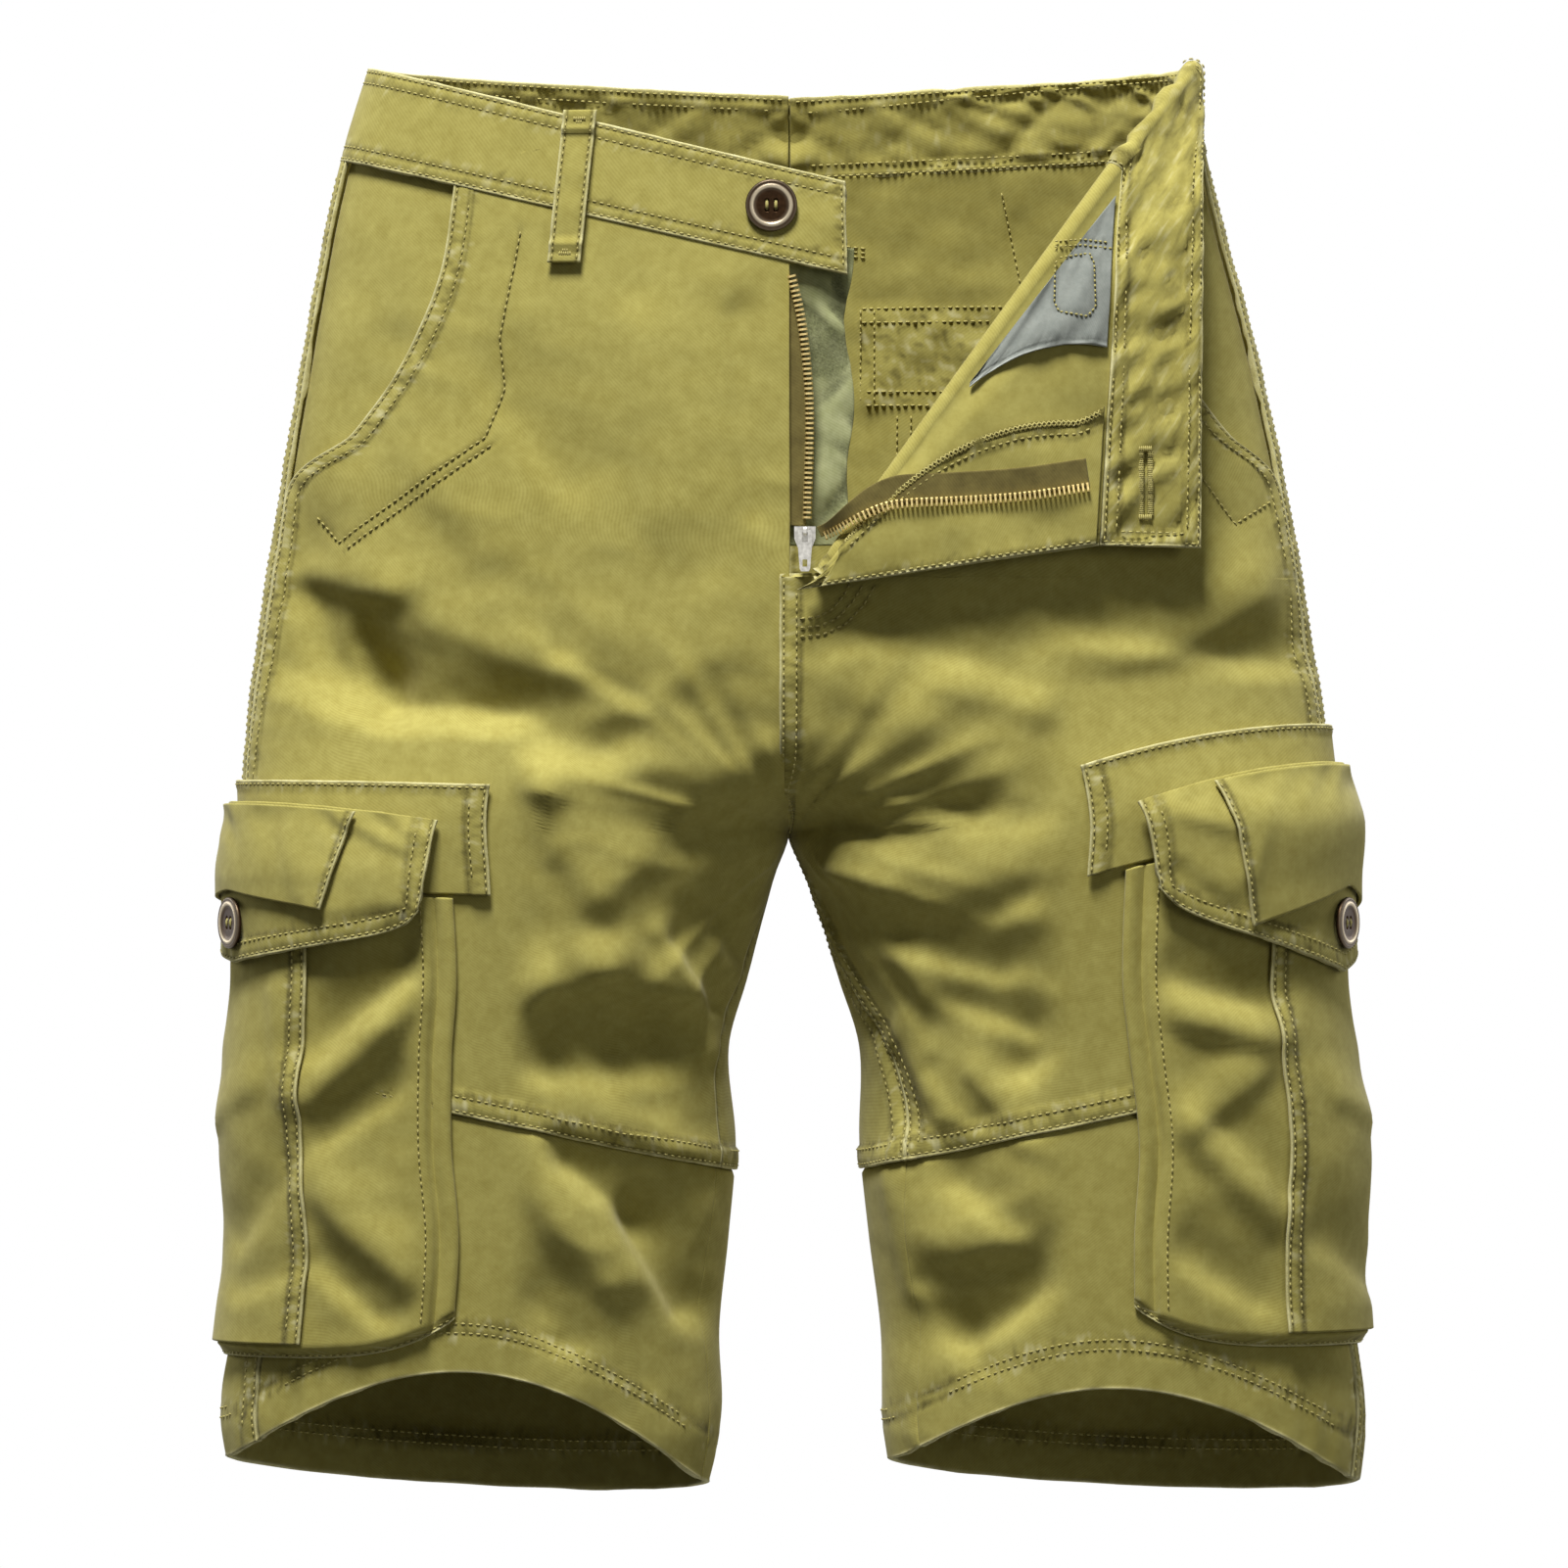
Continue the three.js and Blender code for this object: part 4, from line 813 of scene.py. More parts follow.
def sink_line(sheet, line, depth=0.35, width=1.1, inside=False):
    """Sink a sheet along a stitched line and darken it there with painted shade for its needle holes, by each
    point's distance from the line as seen from the front."""
    x, z = sheet.points[..., 0], sheet.points[..., 2]
    away = np.full(x.shape, np.inf)
    for start, end in zip(line[:-1], line[1:]):
        dx, dz = end[0] - start[0], end[2] - start[2]
        t = np.clip(((x - start[0]) * dx + (z - start[2]) * dz) / max(dx * dx + dz * dz, 1e-9), 0, 1)
        away = np.minimum(away, np.hypot(x - start[0] - t * dx, z - start[2] - t * dz))
    dent = -depth * np.exp(-((away / width) ** 2))
    emboss(sheet, dent + 0.15 * noise(z / 4, x / 4, 7) * np.exp(-away / 4), inside)
    # painted shade along the sunk line
    sheet.painted_shade = np.maximum(sheet.painted_shade, 0.6 * np.exp(-((away / 0.8) ** 2)))


def front_right_at(u, v):
    """Across from the mouth's edge to the inseam, down from the band to the knee seam."""
    start = angle_at_x(RIGHT, HAND_POCKET[0, 1], HAND_POCKET[0, 0])
    top = band_edge(RIGHT, mix(start, np.pi / 2, u), False) + UNDER_BAND
    z = mix(top, crossing(RIGHT, side_seam, front_inseam, u, knee_seam), v)
    return skin(RIGHT, mix(front_start(RIGHT, z), section(RIGHT, z).inseam, lap(u)), z)


front_right = lay(front_right_at, 250, 390, 2.2, -1)
turned_edge(front_right, "left", raised=0.5, seed=2)
turned_edge(front_right, "bottom", raised=1.2, seed=3)
bag_rows = [drawn(RIGHT, places) for places in (
    [(114, -72), (116, -83), (123, -118), (121, -139), (129, -160), (193, -204), (204, -192)],
    [(126, -163), (191, -208)],
)]
for points, normals in bag_rows:
    sink_line(front_right, points[::4])
piece = shell("front_right_cloth", [front_right], material=TWILL, replaced=["front_right"])
sew("front_right_stitches", rows_along(front_right, left=FELL_ROWS, bottom=FELL_ROWS) + bag_rows)

# Back panels
# The seat and the back of each thigh are one panel of twill. The centre seam is felled to the wearer's left,
# so its two rows are on the left panel. Each panel laps over its knee piece.
BACK_PATCH = SimpleNamespace(near=29, far=182, top=-98, foot=-144)
BACK_POCKET = SimpleNamespace(near=44, foot=-268)
INSIDE_SEAMS = [
    # stitching that comes through from the back patch and pocket, the dart and a bar tack, as places (x, z)
    [(31, -100), (60, -99.5), (100, -99.5), (180, -100)],
    [(31, -106), (100, -105.5), (178, -106)],
    [(31, -100), (31, -142)],
    [(37, -100), (37, -142)],
    [(33, -136), (180, -136)],
    [(33, -142), (180, -142)],
    [(47, -146), (46, -262)],
    [(53, -146), (52, -258)],
    [(92, -50), (101, -93)],
    [(24, -73), (33, -74)],
    [(24, -75), (33, -76)],
    [(24, -77), (33, -78)],
]


def back_inseam(s, z):
    """The inseam's angle, counted round the back, or above the crotch the centre's."""
    return np.where(z > CROTCH, -s.end, s.inseam - 2 * np.pi)


for name, side in (("right", RIGHT), ("left", LEFT)):
    def back_at(u, v):
        """Across from the side seam to the centre, down from the band to the knee seam."""
        top = band_edge(side, mix(section(side, 0).seam, -np.pi / 2, u), False) + UNDER_BAND
        z = mix(top, crossing(side, side_seam, back_inseam, u, knee_seam), v)
        s = section(side, z)
        return skin(side, mix(s.seam, back_inseam(s, z), lap(u)), z)

    sheet = lay(back_at, 300, 400, 3.4, -side.sign)
    out, z = np.abs(sheet.points[..., 0]), sheet.points[..., 2]
    in_patch = (smooth((out - BACK_PATCH.near) / 3) * smooth((z - BACK_PATCH.foot) / 3)
                * smooth((BACK_PATCH.top - z) / 3))
    in_pocket = (smooth((out - BACK_POCKET.near) / 3) * smooth((BACK_PATCH.foot - z) / 3)
                 * smooth((z - BACK_POCKET.foot) / 3))
    crumple = 1.1 * noise(out / 11, z / 9, 91) + 0.7 * noise(out / 5, z / 6, 92)
    sheet.thickness = CLOTH + 0.9 * in_patch + 0.5 * in_pocket + crumple * (0.35 + 0.65 * in_patch)
    sheet.pucker_down = sheet.pucker_across = 0.75 * in_patch * smooth((BACK_PATCH.far - 2 - out) / 3)
    felled = side.sign > 0
    turned_edge(sheet, "left", raised=0.6, seed=5)
    turned_edge(sheet, "right", raised=0.5 if felled else 0.1, rows=FELL_ROWS if felled else (1.8,), seed=6)
    turned_edge(sheet, "bottom", raised=1.2, seed=7)
    piece = shell(f"back_{name}_cloth", [sheet], material=TWILL, replaced=[f"back_{name}"])
    centre = {"right": FELL_ROWS} if felled else {}
    stitch_lines = rows_along(sheet, left=FELL_ROWS, bottom=FELL_ROWS, **centre)
    for places in INSIDE_SEAMS:
        stitch_lines.append(onto(inner_face(sheet), np.array(places) * (side.sign, 1), 0.2))
    sew(f"back_{name}_stitches", stitch_lines)

# Knee pieces
# The lower part of each leg is a front and a back piece. Each hem is turned up 24 mm and stitched twice.
HEM, HEM_DEPTH, HEM_ROWS = -600.5, 24, (17, 21)
KNEE_LAP = 8


def hem_edge(side, angle):
    """The hem arches up over the front of the leg, sags at the back, and tilts across."""
    towards = np.sin(angle)
    level = HEM + side.hem_tilt * np.cos(angle)
    return np.where(towards < 0, level + 10 * towards, level + side.hem_arch * np.abs(towards) ** 2.5)


KNEE_HALVES = [
    # half, inseam, step, raised seam, its rows, flat size, area
    ("front", front_inseam, 2.6, 0, (1.5,), (0.20, 0.20), 0.030),
    ("back", back_inseam, 3.6, 0.5, FELL_ROWS, (0.30, 0.20), 0.053),
]
for name, side in (("right", RIGHT), ("left", LEFT)):
    for half, inseam, step, raised, seam_rows, flat, area in KNEE_HALVES:
        def knee_at(u, v):
            """Across from the side seam to the inseam, down from under the knee seam to the hem."""
            top = crossing(side, side_seam, inseam, u, knee_seam) + KNEE_LAP
            z = mix(top, crossing(side, side_seam, inseam, u, hem_edge), v)
            s = section(side, z)
            return skin(side, mix(s.seam, inseam(s, z), lap(u)), z)

        facing = side.sign if half == "front" else -side.sign
        sheet = lay(knee_at, 200, 150, step, facing)
        sheet.thickness = CLOTH * (1 + smooth((HEM_DEPTH - sheet.bottom) / 1.5))
        lift_by(sheet, -1.75 * smooth((KNEE_LAP + 2 - sheet.top) / 2.5))
        turned_edge(sheet, "left", raised=raised, rows=seam_rows, seed=9)
        turned_edge(sheet, "bottom", rows=HEM_ROWS, raised=0.35, pucker=0.5, seed=10)
        piece = shell(f"{half}_knee_{name}_cloth", [sheet], material=TWILL, replaced=[f"{half}_knee_{name}"])
        hem_lines = rows_along(sheet, bottom=HEM_ROWS)
        seam_lines = rows_along(sheet, left=FELL_ROWS) if half == "back" else []
        sew(f"{half}_knee_{name}_stitches", hem_lines + seam_lines + inner(hem_lines, 2 * CLOTH))

# Left front panel
# The same panel on the wearer's left. Its upper part is folded back, from the waist at the side to the foot
# of the fly, so that its inside shows.
FOLD_TOP, FOLD_FOOT = (170, -1), (14, -219)
FOLD_RADIUS = 3
BAND_END_INNER, BAND_END_OUTER = (131, -206), (174, -207)
LAPEL_TOP = LEFT.band_seam - DROP_IN_FRONT * 0.21
PANEL_TOP = LAPEL_TOP + 1


def fold_line(z):
    """The fold's point at a height, the way out of the body there, and the way onwards over the fold."""
    def point(height):
        t = (height - FOLD_TOP[1]) / (FOLD_FOOT[1] - FOLD_TOP[1])
        return skin(LEFT, angle_at_x(LEFT, mix(FOLD_TOP[0], FOLD_FOOT[0], t), height), height)

    here, s = point(z), section(LEFT, z)
    angle = angle_at_x(LEFT, here[..., 0], z)
    down = point(z - 2) - point(z + 2)
    down /= np.linalg.norm(down, axis=-1, keepdims=True)
    out = np.stack([s.front * np.cos(angle), -s.half * np.sin(angle), 0 * angle], axis=-1)
    out -= down * np.sum(out * down, axis=-1, keepdims=True)
    out /= np.linalg.norm(out, axis=-1, keepdims=True)
    onwards = np.cross(down, out)
    return here, out, onwards / np.linalg.norm(onwards, axis=-1, keepdims=True)


def turn(z, share):
    """Points round the half-turn of the fold, from the body at share 0 to the turned-back cloth at 1."""
    here, out, onwards = fold_line(z)
    angle = np.pi * np.asarray(share)[..., None]
    return here + onwards * FOLD_RADIUS * np.sin(angle) + out * FOLD_RADIUS * (1 - np.cos(angle))


def lapel_depth(x, z):
    """How far in front the turned-back cloth lies: on an ellipse a little flatter than the front's, with
    the slack waves of cloth that nothing holds."""
    outer = curve(LEFT.sections, 1, z) + 25
    waves = 1.2 * noise((x + z) / 33, (z - x) / 60, 41) + 0.5 * noise(x / 14, z / 14, 43)
    slack = smooth((-z - 60) / 60) * waves
    return curve(LEFT.sections, 3, z) * np.sqrt(1 - (x / outer) ** 2) + 8 + slack


def over_lapel(z, edge, share, lift=0.0):
    """A point between the fold, at height z, and a point of the turned-back edge."""
    start = turn(z, np.ones_like(share))
    x, height = mix(start[..., 0], edge[0], share), mix(start[..., 2], edge[1], share)
    y = mix(start[..., 1], -lapel_depth(x, height), smooth(share / 0.3))
    return np.stack([x, y - lift, height], axis=-1)


def lapel(along, across, lift=0.0):
    """A point of the turned-back panel: along from the waist to the fly's foot, across from the fold."""
    edge = (mix(BAND_END_INNER[0] - GAP, 3, along), mix(BAND_END_INNER[1], FOLD_FOOT[1] - 6, along))
    return over_lapel(mix(PANEL_TOP, FOLD_FOOT[1], along), edge, across, lift)


rows_above = stations(190, 2.6)
body_u, body_v = np.meshgrid(stations(230, 2.6), rows_above)
body_z = mix(PANEL_TOP, FOLD_FOOT[1], body_v)
body_end = angle_at_x(LEFT, fold_line(body_z)[0][..., 0], body_z)
body = measure(skin(LEFT, mix(front_start(LEFT, body_z), body_end, lap(body_u)), body_z), 1)
turned_edge(body, "left", seed=12)
CENTRE_LAP = 4


def below_at(u, v):
    """The part below the fold's foot, which laps over the right front at the centre seam."""
    z = mix(FOLD_FOOT[1], crossing(LEFT, side_seam, front_inseam, u, knee_seam), v)
    s = section(LEFT, z)
    over = CENTRE_LAP * smooth((z - CROTCH + 4) / 20) / s.half
    return skin(LEFT, mix(s.seam, s.inseam + over, lap(u)), z)


below_u, below_v = np.meshgrid(stations(230, 2.6), stations(250, 2.6))
below = measure(below_at(below_u, below_v), 1)
turned_edge(below, "left", seed=12)
turned_edge(below, "bottom", raised=1.2, seed=14)
turned_edge(below, "right", rows=(1.8, 7.2), raised=0.9, seed=13)
fly_rows = [drawn(LEFT, places, 0.3) for places in (
    [(4, -244.5), (14, -243.6), (23.5, -239.4), (31, -231.8), (36.5, -222.6)],
    [(4, -240.8), (13, -240), (20.5, -236.5), (27, -229.5), (31.5, -221.8)],
    [(4, -237), (12, -236.2), (18, -233), (22.8, -227.5), (26, -221)],
)]
pocket_row = drawn(LEFT, [(172, -172), (190, -196), (206, -186)])
for points, normals in fly_rows + [pocket_row]:
    sink_line(below, points[::3])
    sink_line(body, points[::3])
BEND_STEPS = 10
round_shares = np.arange(BEND_STEPS) / BEND_STEPS - 1
turned_u, turned_v = np.meshgrid(np.concatenate([round_shares, stations(210, 2.8)]), rows_above)
round_fold = turn(mix(PANEL_TOP, FOLD_FOOT[1], turned_v), np.clip(turned_u + 1, 0, 1))
flat_back = lapel(turned_v, np.clip(turned_u, 0, 1))
turned = measure(np.where((turned_u < 0)[..., None], round_fold, flat_back), 1)
turned_edge(turned, "right", rows=(1.6, 5), raised=0.6, seed=15, inside=True)
turned_edge(turned, "bottom", rows=(1.6, 6.5), raised=0.9, pucker=1.1, seed=16, inside=True)
turned.points[:, 0] = body.points[:, -1]
below.points[0] = body.points[-1]
piece = shell("front_left_cloth", [body, below, turned], material=TWILL, replaced=["front_left"])
sew("front_left_stitches", rows_along(body, left=FELL_ROWS) + fly_rows + [pocket_row]
    + rows_along(below, left=FELL_ROWS, bottom=FELL_ROWS, right=(1.8, 7.2))
    + inner(rows_along(turned, right=(1.6, 5)), CLOTH + 0.4))

# Waistband
# A doubled band of twill in two halves, topstitched twice along both edges. The right half ends in the
# button end and the left half, turned back with its front, in the buttonhole end.
DOUBLED = 2.2
BAND_PROUD = 0.7
BAND_ROWS = (1.6, 6.6)


def inside_wrinkles(sheet):
    """The band's inner layer is longer than its outer one and lies in small cross folds."""
    across = smooth(sheet.top / 8) * smooth(sheet.bottom / 8)
    return across * (2.0 * noise((sheet.left + sheet.top) / 10, sheet.top / 20, 25)
                     + 1.2 * noise((sheet.left - sheet.top) / 6, sheet.top / 9, 26))


def band_right_at(u, v):
    """From the centre back round to the button end, and down from the top edge."""
    angle = mix(-np.pi / 2 + 0.001, np.radians(97), u)
    level = mix(band_edge(RIGHT, angle, True), band_edge(RIGHT, angle, False) + GAP / 2, v)
    return skin(RIGHT, angle, level, BAND_PROUD)


band = lay(band_right_at, 480, 41, 3, -1)
band.thickness = DOUBLED + inside_wrinkles(band)
for edge, seed in (("top", 20), ("bottom", 22)):
    turned_edge(band, edge, rows=BAND_ROWS, raised=0.15, pucker=0.35, reach=8, seed=seed)
turned_edge(band, "right", rows=(1.8,), raised=0.1, seed=23)
band.pucker_across = np.maximum(band.pucker_across, 0.5 * (band.points[..., 1] > 0))
piece = shell("waistband_right_cloth", [band], material=TWILL, replaced=["waistband_right"])
band_lines = rows_along(band, top=BAND_ROWS, bottom=BAND_ROWS)
sew("waistband_right_stitches", band_lines + rows_along(band, right=(1.8,)) + inner(band_lines, DOUBLED))


def fold_height_at(v):
    """The height at which a line along the band meets the fold."""
    return mix(FOLD_TOP[1], LAPEL_TOP + GAP, v)


band_v = stations(41, 3)
round_u = stations(300, 3)[:-1]
around_u, around_v = np.meshgrid(np.concatenate([round_u, [1.0]]), band_v)
fold_z = fold_height_at(around_v)
around_end = angle_at_x(LEFT, fold_line(fold_z)[0][..., 0], fold_z)
around_angle = mix(-np.pi / 2 + 0.001, around_end, around_u)
level = mix(band_edge(LEFT, around_angle, True), band_edge(LEFT, around_angle, False) + GAP / 2, around_v)
around = measure(skin(LEFT, around_angle, mix(level, fold_z, smooth((around_u - 0.8) / 0.2))), 1)
strip_u, strip_v = np.meshgrid(np.concatenate([round_shares, stations(200, 3)]), band_v)
strip_fold = turn(fold_height_at(strip_v), np.clip(strip_u + 1, 0, 1))
edge_point = [mix(BAND_END_OUTER[k], BAND_END_INNER[k], strip_v) for k in (0, 1)]
strip_flat = over_lapel(fold_height_at(strip_v), edge_point, np.clip(strip_u, 0, 1))
strip = measure(np.where((strip_u < 0)[..., None], strip_fold, strip_flat), 1)
for sheet, raised, pucker in ((around, 0.15, 0.35), (strip, 0.5, 1.0)):
    sheet.thickness = DOUBLED + inside_wrinkles(sheet)
    lift_by(sheet, BAND_PROUD)
    for edge, seed in (("top", 20), ("bottom", 22)):
        turned_edge(sheet, edge, rows=BAND_ROWS, raised=raised, pucker=pucker, reach=8, seed=seed,
                    inside=sheet is strip)
crushed = noise((strip.left + 0.7 * strip.top) / 5.5, strip.top / 16, 27)
strip.thickness = strip.thickness + smooth(strip_u / 0.25) * crushed
# painted shade in the hollows of the crushed strip
strip.painted_shade = np.maximum(strip.painted_shade, 0.35 * smooth(-crushed * 1.6 - 0.3))
strip.pucker_across = np.maximum(strip.pucker_across, 0.6)
around.pucker_across = np.maximum(around.pucker_across, 0.5 * (around.points[..., 1] > 0))
turned_edge(strip, "right", rows=(1.8, 6), raised=0.4, seed=28, inside=True)
HOLE_X, HOLE_TOP, HOLE_FOOT = 150.8, -166, -193.5
hole_line, outward = onto(inner_face(strip), [(HOLE_X, HOLE_TOP), (HOLE_X, HOLE_FOOT)], 0)
sink_line(strip, hole_line, depth=1.6, width=1.0, inside=True)
strip.points[:, 0] = around.points[:, -1]
piece = shell("waistband_left_cloth", [around, strip], material=TWILL, replaced=["waistband_left"])
around_lines = rows_along(around, top=BAND_ROWS, bottom=BAND_ROWS)
strip_lines = rows_along(strip, top=BAND_ROWS, bottom=BAND_ROWS, right=(1.8, 6))
sew("waistband_left_stitches",
    around_lines + inner(around_lines, DOUBLED) + inner(strip_lines, DOUBLED + 0.6))
for number, offset in enumerate((-2, 2)):
    hole_side = [(hole_line + (offset, -0.1, 0), outward)]
    sew(f"buttonhole_side_{number}", hole_side, pitch=0.8, length=3.2, slant=np.pi / 2)
for number, end in enumerate((0, -1)):
    bar_shape = [np.linspace(-3, 3, 5), np.full(5, -0.5), np.full(5, 1.0 - 2 * number)]
    bar = hole_line[end] + np.stack(bar_shape, axis=1)
    sew(f"buttonhole_end_{number}", [(bar, outward[:5])], pitch=0.8, length=3, slant=np.pi / 2)

# Hand pockets
# Behind each slanted mouth lies a facing of twill. The bag of thin plain-woven pocketing goes on from it
# inside, and the left one shows on the turned-back front.
POCKETING = twill_material("plain_woven_pocketing", light="#92968f", dark="#7d827c", worn="#b0b4ac",
                           painted_shade="#3d403a")
FACING_UNDER = np.radians(3)
FACING_DEPTH = -CLOTH - 1
for name, side in (("right", RIGHT), ("left", LEFT)):
    def facing_at(u, v):
        """Across from the side seam to a little under the mouth, down from the band."""
        mouth_top = angle_at_x(side, HAND_POCKET[0, 1], HAND_POCKET[0, 0])
        nominal = mix(section(side, -50).seam, mouth_top, u)
        z = mix(band_edge(side, nominal, False) + 4, mix(-186, -178, u), v)
        end = front_start(side, z) + FACING_UNDER
        return skin(side, mix(section(side, z).seam - 0.01, end, u), z, FACING_DEPTH)

    piece = shell(f"pocket_facing_{name}_cloth", [lay(facing_at, 75, 140, 3.5, side.sign)], material=TWILL,
                  replaced=[f"pocket_facing_{name}"])

# the bag's stitching: height and distance from the centre
BAG_STITCHING = np.array([(-50, 114), (-118, 123), (-139, 121), (-160, 129), (-202, 190)], float)


def bag_right_at(u, v):
    """Across from the facing's edge to the line where the bag is stitched."""
    z = mix(-58, -200, v)
    start = np.maximum(front_start(RIGHT, z) + FACING_UNDER, section(RIGHT, z).seam) + np.radians(0.5)
    return skin(RIGHT, mix(start, angle_at_x(RIGHT, curve(BAG_STITCHING, 1, z), z), u), z, FACING_DEPTH)


def bag_left_at(u, v):
    """On the turned-back front's inside, and narrower downwards."""
    return lapel(mix(0.015, 0.5, v), mix(0.06, 0.47 * (1 - 0.82 * v), u), CLOTH + 1.5)


BAG_WALL = 0.8
bags = [
    # side, shape, width, length, facing, flat size, area
    ("right", bag_right_at, 40, 140, -1, (0.07, 0.15), 0.0045),
    ("left", bag_left_at, 60, 95, 1, (0.055, 0.10), 0.0022),
]
for name, at, width, length, facing, flat, area in bags:
    sheet = lay(at, width, length, 3, facing)
    sheet.thickness[:] = BAG_WALL
    if name == "left":
        turned_edge(sheet, "right", rows=(2.5,), raised=0.3, seed=31, inside=True)
        across, down = sheet.left, sheet.top
        slack = 0.8 * noise(across / 9, down / 14, 32) + 0.4 * noise(down / 5, across / 8, 37)
        sheet.thickness = sheet.thickness + slack * smooth(sheet.bottom / 6)
        tack = np.array([(114, -84), (127, -82), (129, -86), (129.5, -105), (126, -109), (114, -107),
                         (112, -103), (112.5, -86), (115, -84)])
        seam = np.array([(112, -77), (124, -76), (136, -77.5)])
        bag_lines = [onto(inner_face(sheet), line, 0) for line in (tack, seam, seam - (0, 2.4))]
        for points, normals in bag_lines:
            sink_line(sheet, points[::3], depth=0.6, inside=True)
        sew("pocket_bag_left_stitches", bag_lines, pitch=2.2, length=1.7)
    piece = shell(f"pocket_bag_{name}_cloth", [sheet], material=POCKETING, replaced=[f"pocket_bag_{name}"])

# Fly
# On the left the zip's tape is sewn to a serged facing of twill, and on the right its other tape lies over a
# shield of thin sateen. Both tapes are herringbone cotton.
SATEEN = twill_material("cotton_sateen", light="#b2b588", dark="#989c6c", worn="#c6c9a0", painted_shade="#2c2f1a")
TAPE = twill_material("herringbone_zip_tape", light="#7c7140", dark="#625831", worn="#a0955c",
                      painted_shade="#3d3216")
# the facing's inner edge: the share along, with a minus sign so that it falls, and the share across
FACING_INNER = np.array([(0, 0.63), (-0.12, 0.61), (-0.76, 0.2), (-0.92, 0.06)], float)


def fly_facing_at(u, v):
    """Across from the curve of its inner edge to the edge of the turned-back front."""
    along = mix(0.01, 0.92, v)
    return lapel(along, mix(curve(FACING_INNER, 1, -along), 0.995, u), CLOTH + 1.5)


sheet = lay(fly_facing_at, 60, 170, 3, 1)
sheet.thickness[:] = 1
turned_edge(sheet, "left", rows=(6.5,), raised=0.3, seed=33, inside=True)
turned_edge(sheet, "right", rows=(1.6,), raised=0.1, seed=34, inside=True)
serged = smooth((4.5 - sheet.left + 0.8 * noise(sheet.top / 2.5, 0, 35)) / 1.2)
# painted shade among the serging's threads, and no wear under them
sheet.painted_shade = np.maximum(sheet.painted_shade, 0.85 * serged)
sheet.wear = sheet.wear * (1 - serged)
sheet.thickness = sheet.thickness + 0.8 * serged * noise(sheet.top / 3.5, sheet.left / 3, 36)
piece = shell("fly_facing_cloth", [sheet], material=TWILL, replaced=["fly_facing"])
sew("fly_facing_stitches", inner(rows_along(sheet, left=(6.5,), right=(1.6,)), 1.2))
serged_edge = inner(rows_along(sheet, left=(1.8,)), 1.5)
for number, slant in enumerate((0.9, -0.9)):
    sew(f"fly_facing_serging_{number}", serged_edge, pitch=2.1, length=4.2, slant=slant)


def on_front(x, z, lift):
    """A point of the right front at x, which may run past the centre."""
    return skin(RIGHT, angle_at_x(RIGHT, -x, z), z, lift)


SLIDER_Z = -200
SHIELD_EDGE = 28


def shield_at(u, v):
    """From behind the right front to a loose edge, which waves and sags back."""
    edge = SHIELD_EDGE - 2 + 2 * np.cos(v * 12)
    slack = 0.8 * (1 + np.sin(v * 14)) + 1.3 * (1 + noise(u * 4 + v * 3, v * 7 - u * 3, 51))
    return on_front(mix(-12, edge, u), mix(-80, -206, v), -CLOTH - 2.1 - slack * u)


sheet = lay(shield_at, 40, 126, 1.8, -1)
crumpled = noise(sheet.left / 7 + 1.3 * np.sin(sheet.top / 9), sheet.top / 15, 52)
lift_by(sheet, 1.3 * (crumpled - 1) * smooth((sheet.left - 10) / 6))
# painted shade in the bottoms of the shield's folds
sheet.painted_shade = 0.7 * smooth(-crumpled * 2.5) * smooth((sheet.left - 10) / 6)
sheet.thickness[:] = 1.2
piece = shell("fly_shield_cloth", [sheet], material=SATEEN, replaced=["fly_shield"])

TAPE_WIDTH = 12
TEETH_LEFT = np.array([
    # the row's places, numbered downwards from 0, then x and height
    (0, 127, -181),
    (-1, 100, -185),
    (-2, 73, -187),
    (-3, 52, -188),
    (-4, 41, -189.5),
    (-5, 30, -194),
    (-6, 20, -199.5),
    (-7, 13.5, -202.5),
], float)


def tape_left_line(v):
    """The line of the left row of teeth, with its direction."""
    last = TEETH_LEFT[-1, 0]
    here, ahead, behind = ([curve(TEETH_LEFT, k, last * v + step) for k in (1, 2)]
                           for step in (0, -0.02, 0.02))
    onward = np.stack([ahead[0] - behind[0], ahead[1] - behind[1]])
    return here[0], here[1], onward / np.maximum(np.linalg.norm(onward, axis=0), 1e-9)


def tape_left_at(u, v):
    """Out from the row of teeth, first on the turned-back front and then down on the body."""
    x, z, onward = tape_left_line(v)
    showing = TAPE_WIDTH * (1 - 0.6 * smooth((v - 0.45) / 0.5))
    x, z = x + onward[1] * showing * u, z - onward[0] * showing * u
    on_lapel = lapel_depth(x, z) + CLOTH + 3.1
    depth = mix(on_lapel, curve(LEFT.sections, 3, z) - 1, smooth((v - 0.7) / 0.3))
    return np.stack([x, -depth, z], axis=-1)


# the right row of teeth: height and distance past the centre
TEETH_RIGHT = np.array([(-89, 0), (-113, 5), (-147, 8), (-199, 7)], float)


def tape_right_at(u, v):
    """From under the right front to the row of teeth."""
    z = mix(-89, SLIDER_Z + 2.3, v)
    return on_front(mix(-9, curve(TEETH_RIGHT, 1, z), u), z, -CLOTH - 0.5)


TAPES = [
    # side, shape, width, length, facing
    ("left", tape_left_at, 12, 118, 1),
    ("right", tape_right_at, 16.5, 110, -1),
]
for name, at, width, length, facing in TAPES:
    sheet = lay(at, width, length, 1.5, facing)
    sheet.thickness[:] = 0.8
    piece = shell(f"zip_tape_{name}_cloth", [sheet], material=TAPE, replaced=[f"zip_tape_{name}"])

# Zip teeth
# Stamped brass, clenched on the tapes' edges about 2 mm apart, with a rubbed tone and gloss that vary at
# random.
TOOTH_PITCH, TOOTH, TOOTH_CHAMFER = 2.1, (1.2, 3.8, 2.4), 0.7
TOWARDS_FRONT = (0, -1.0, 0)


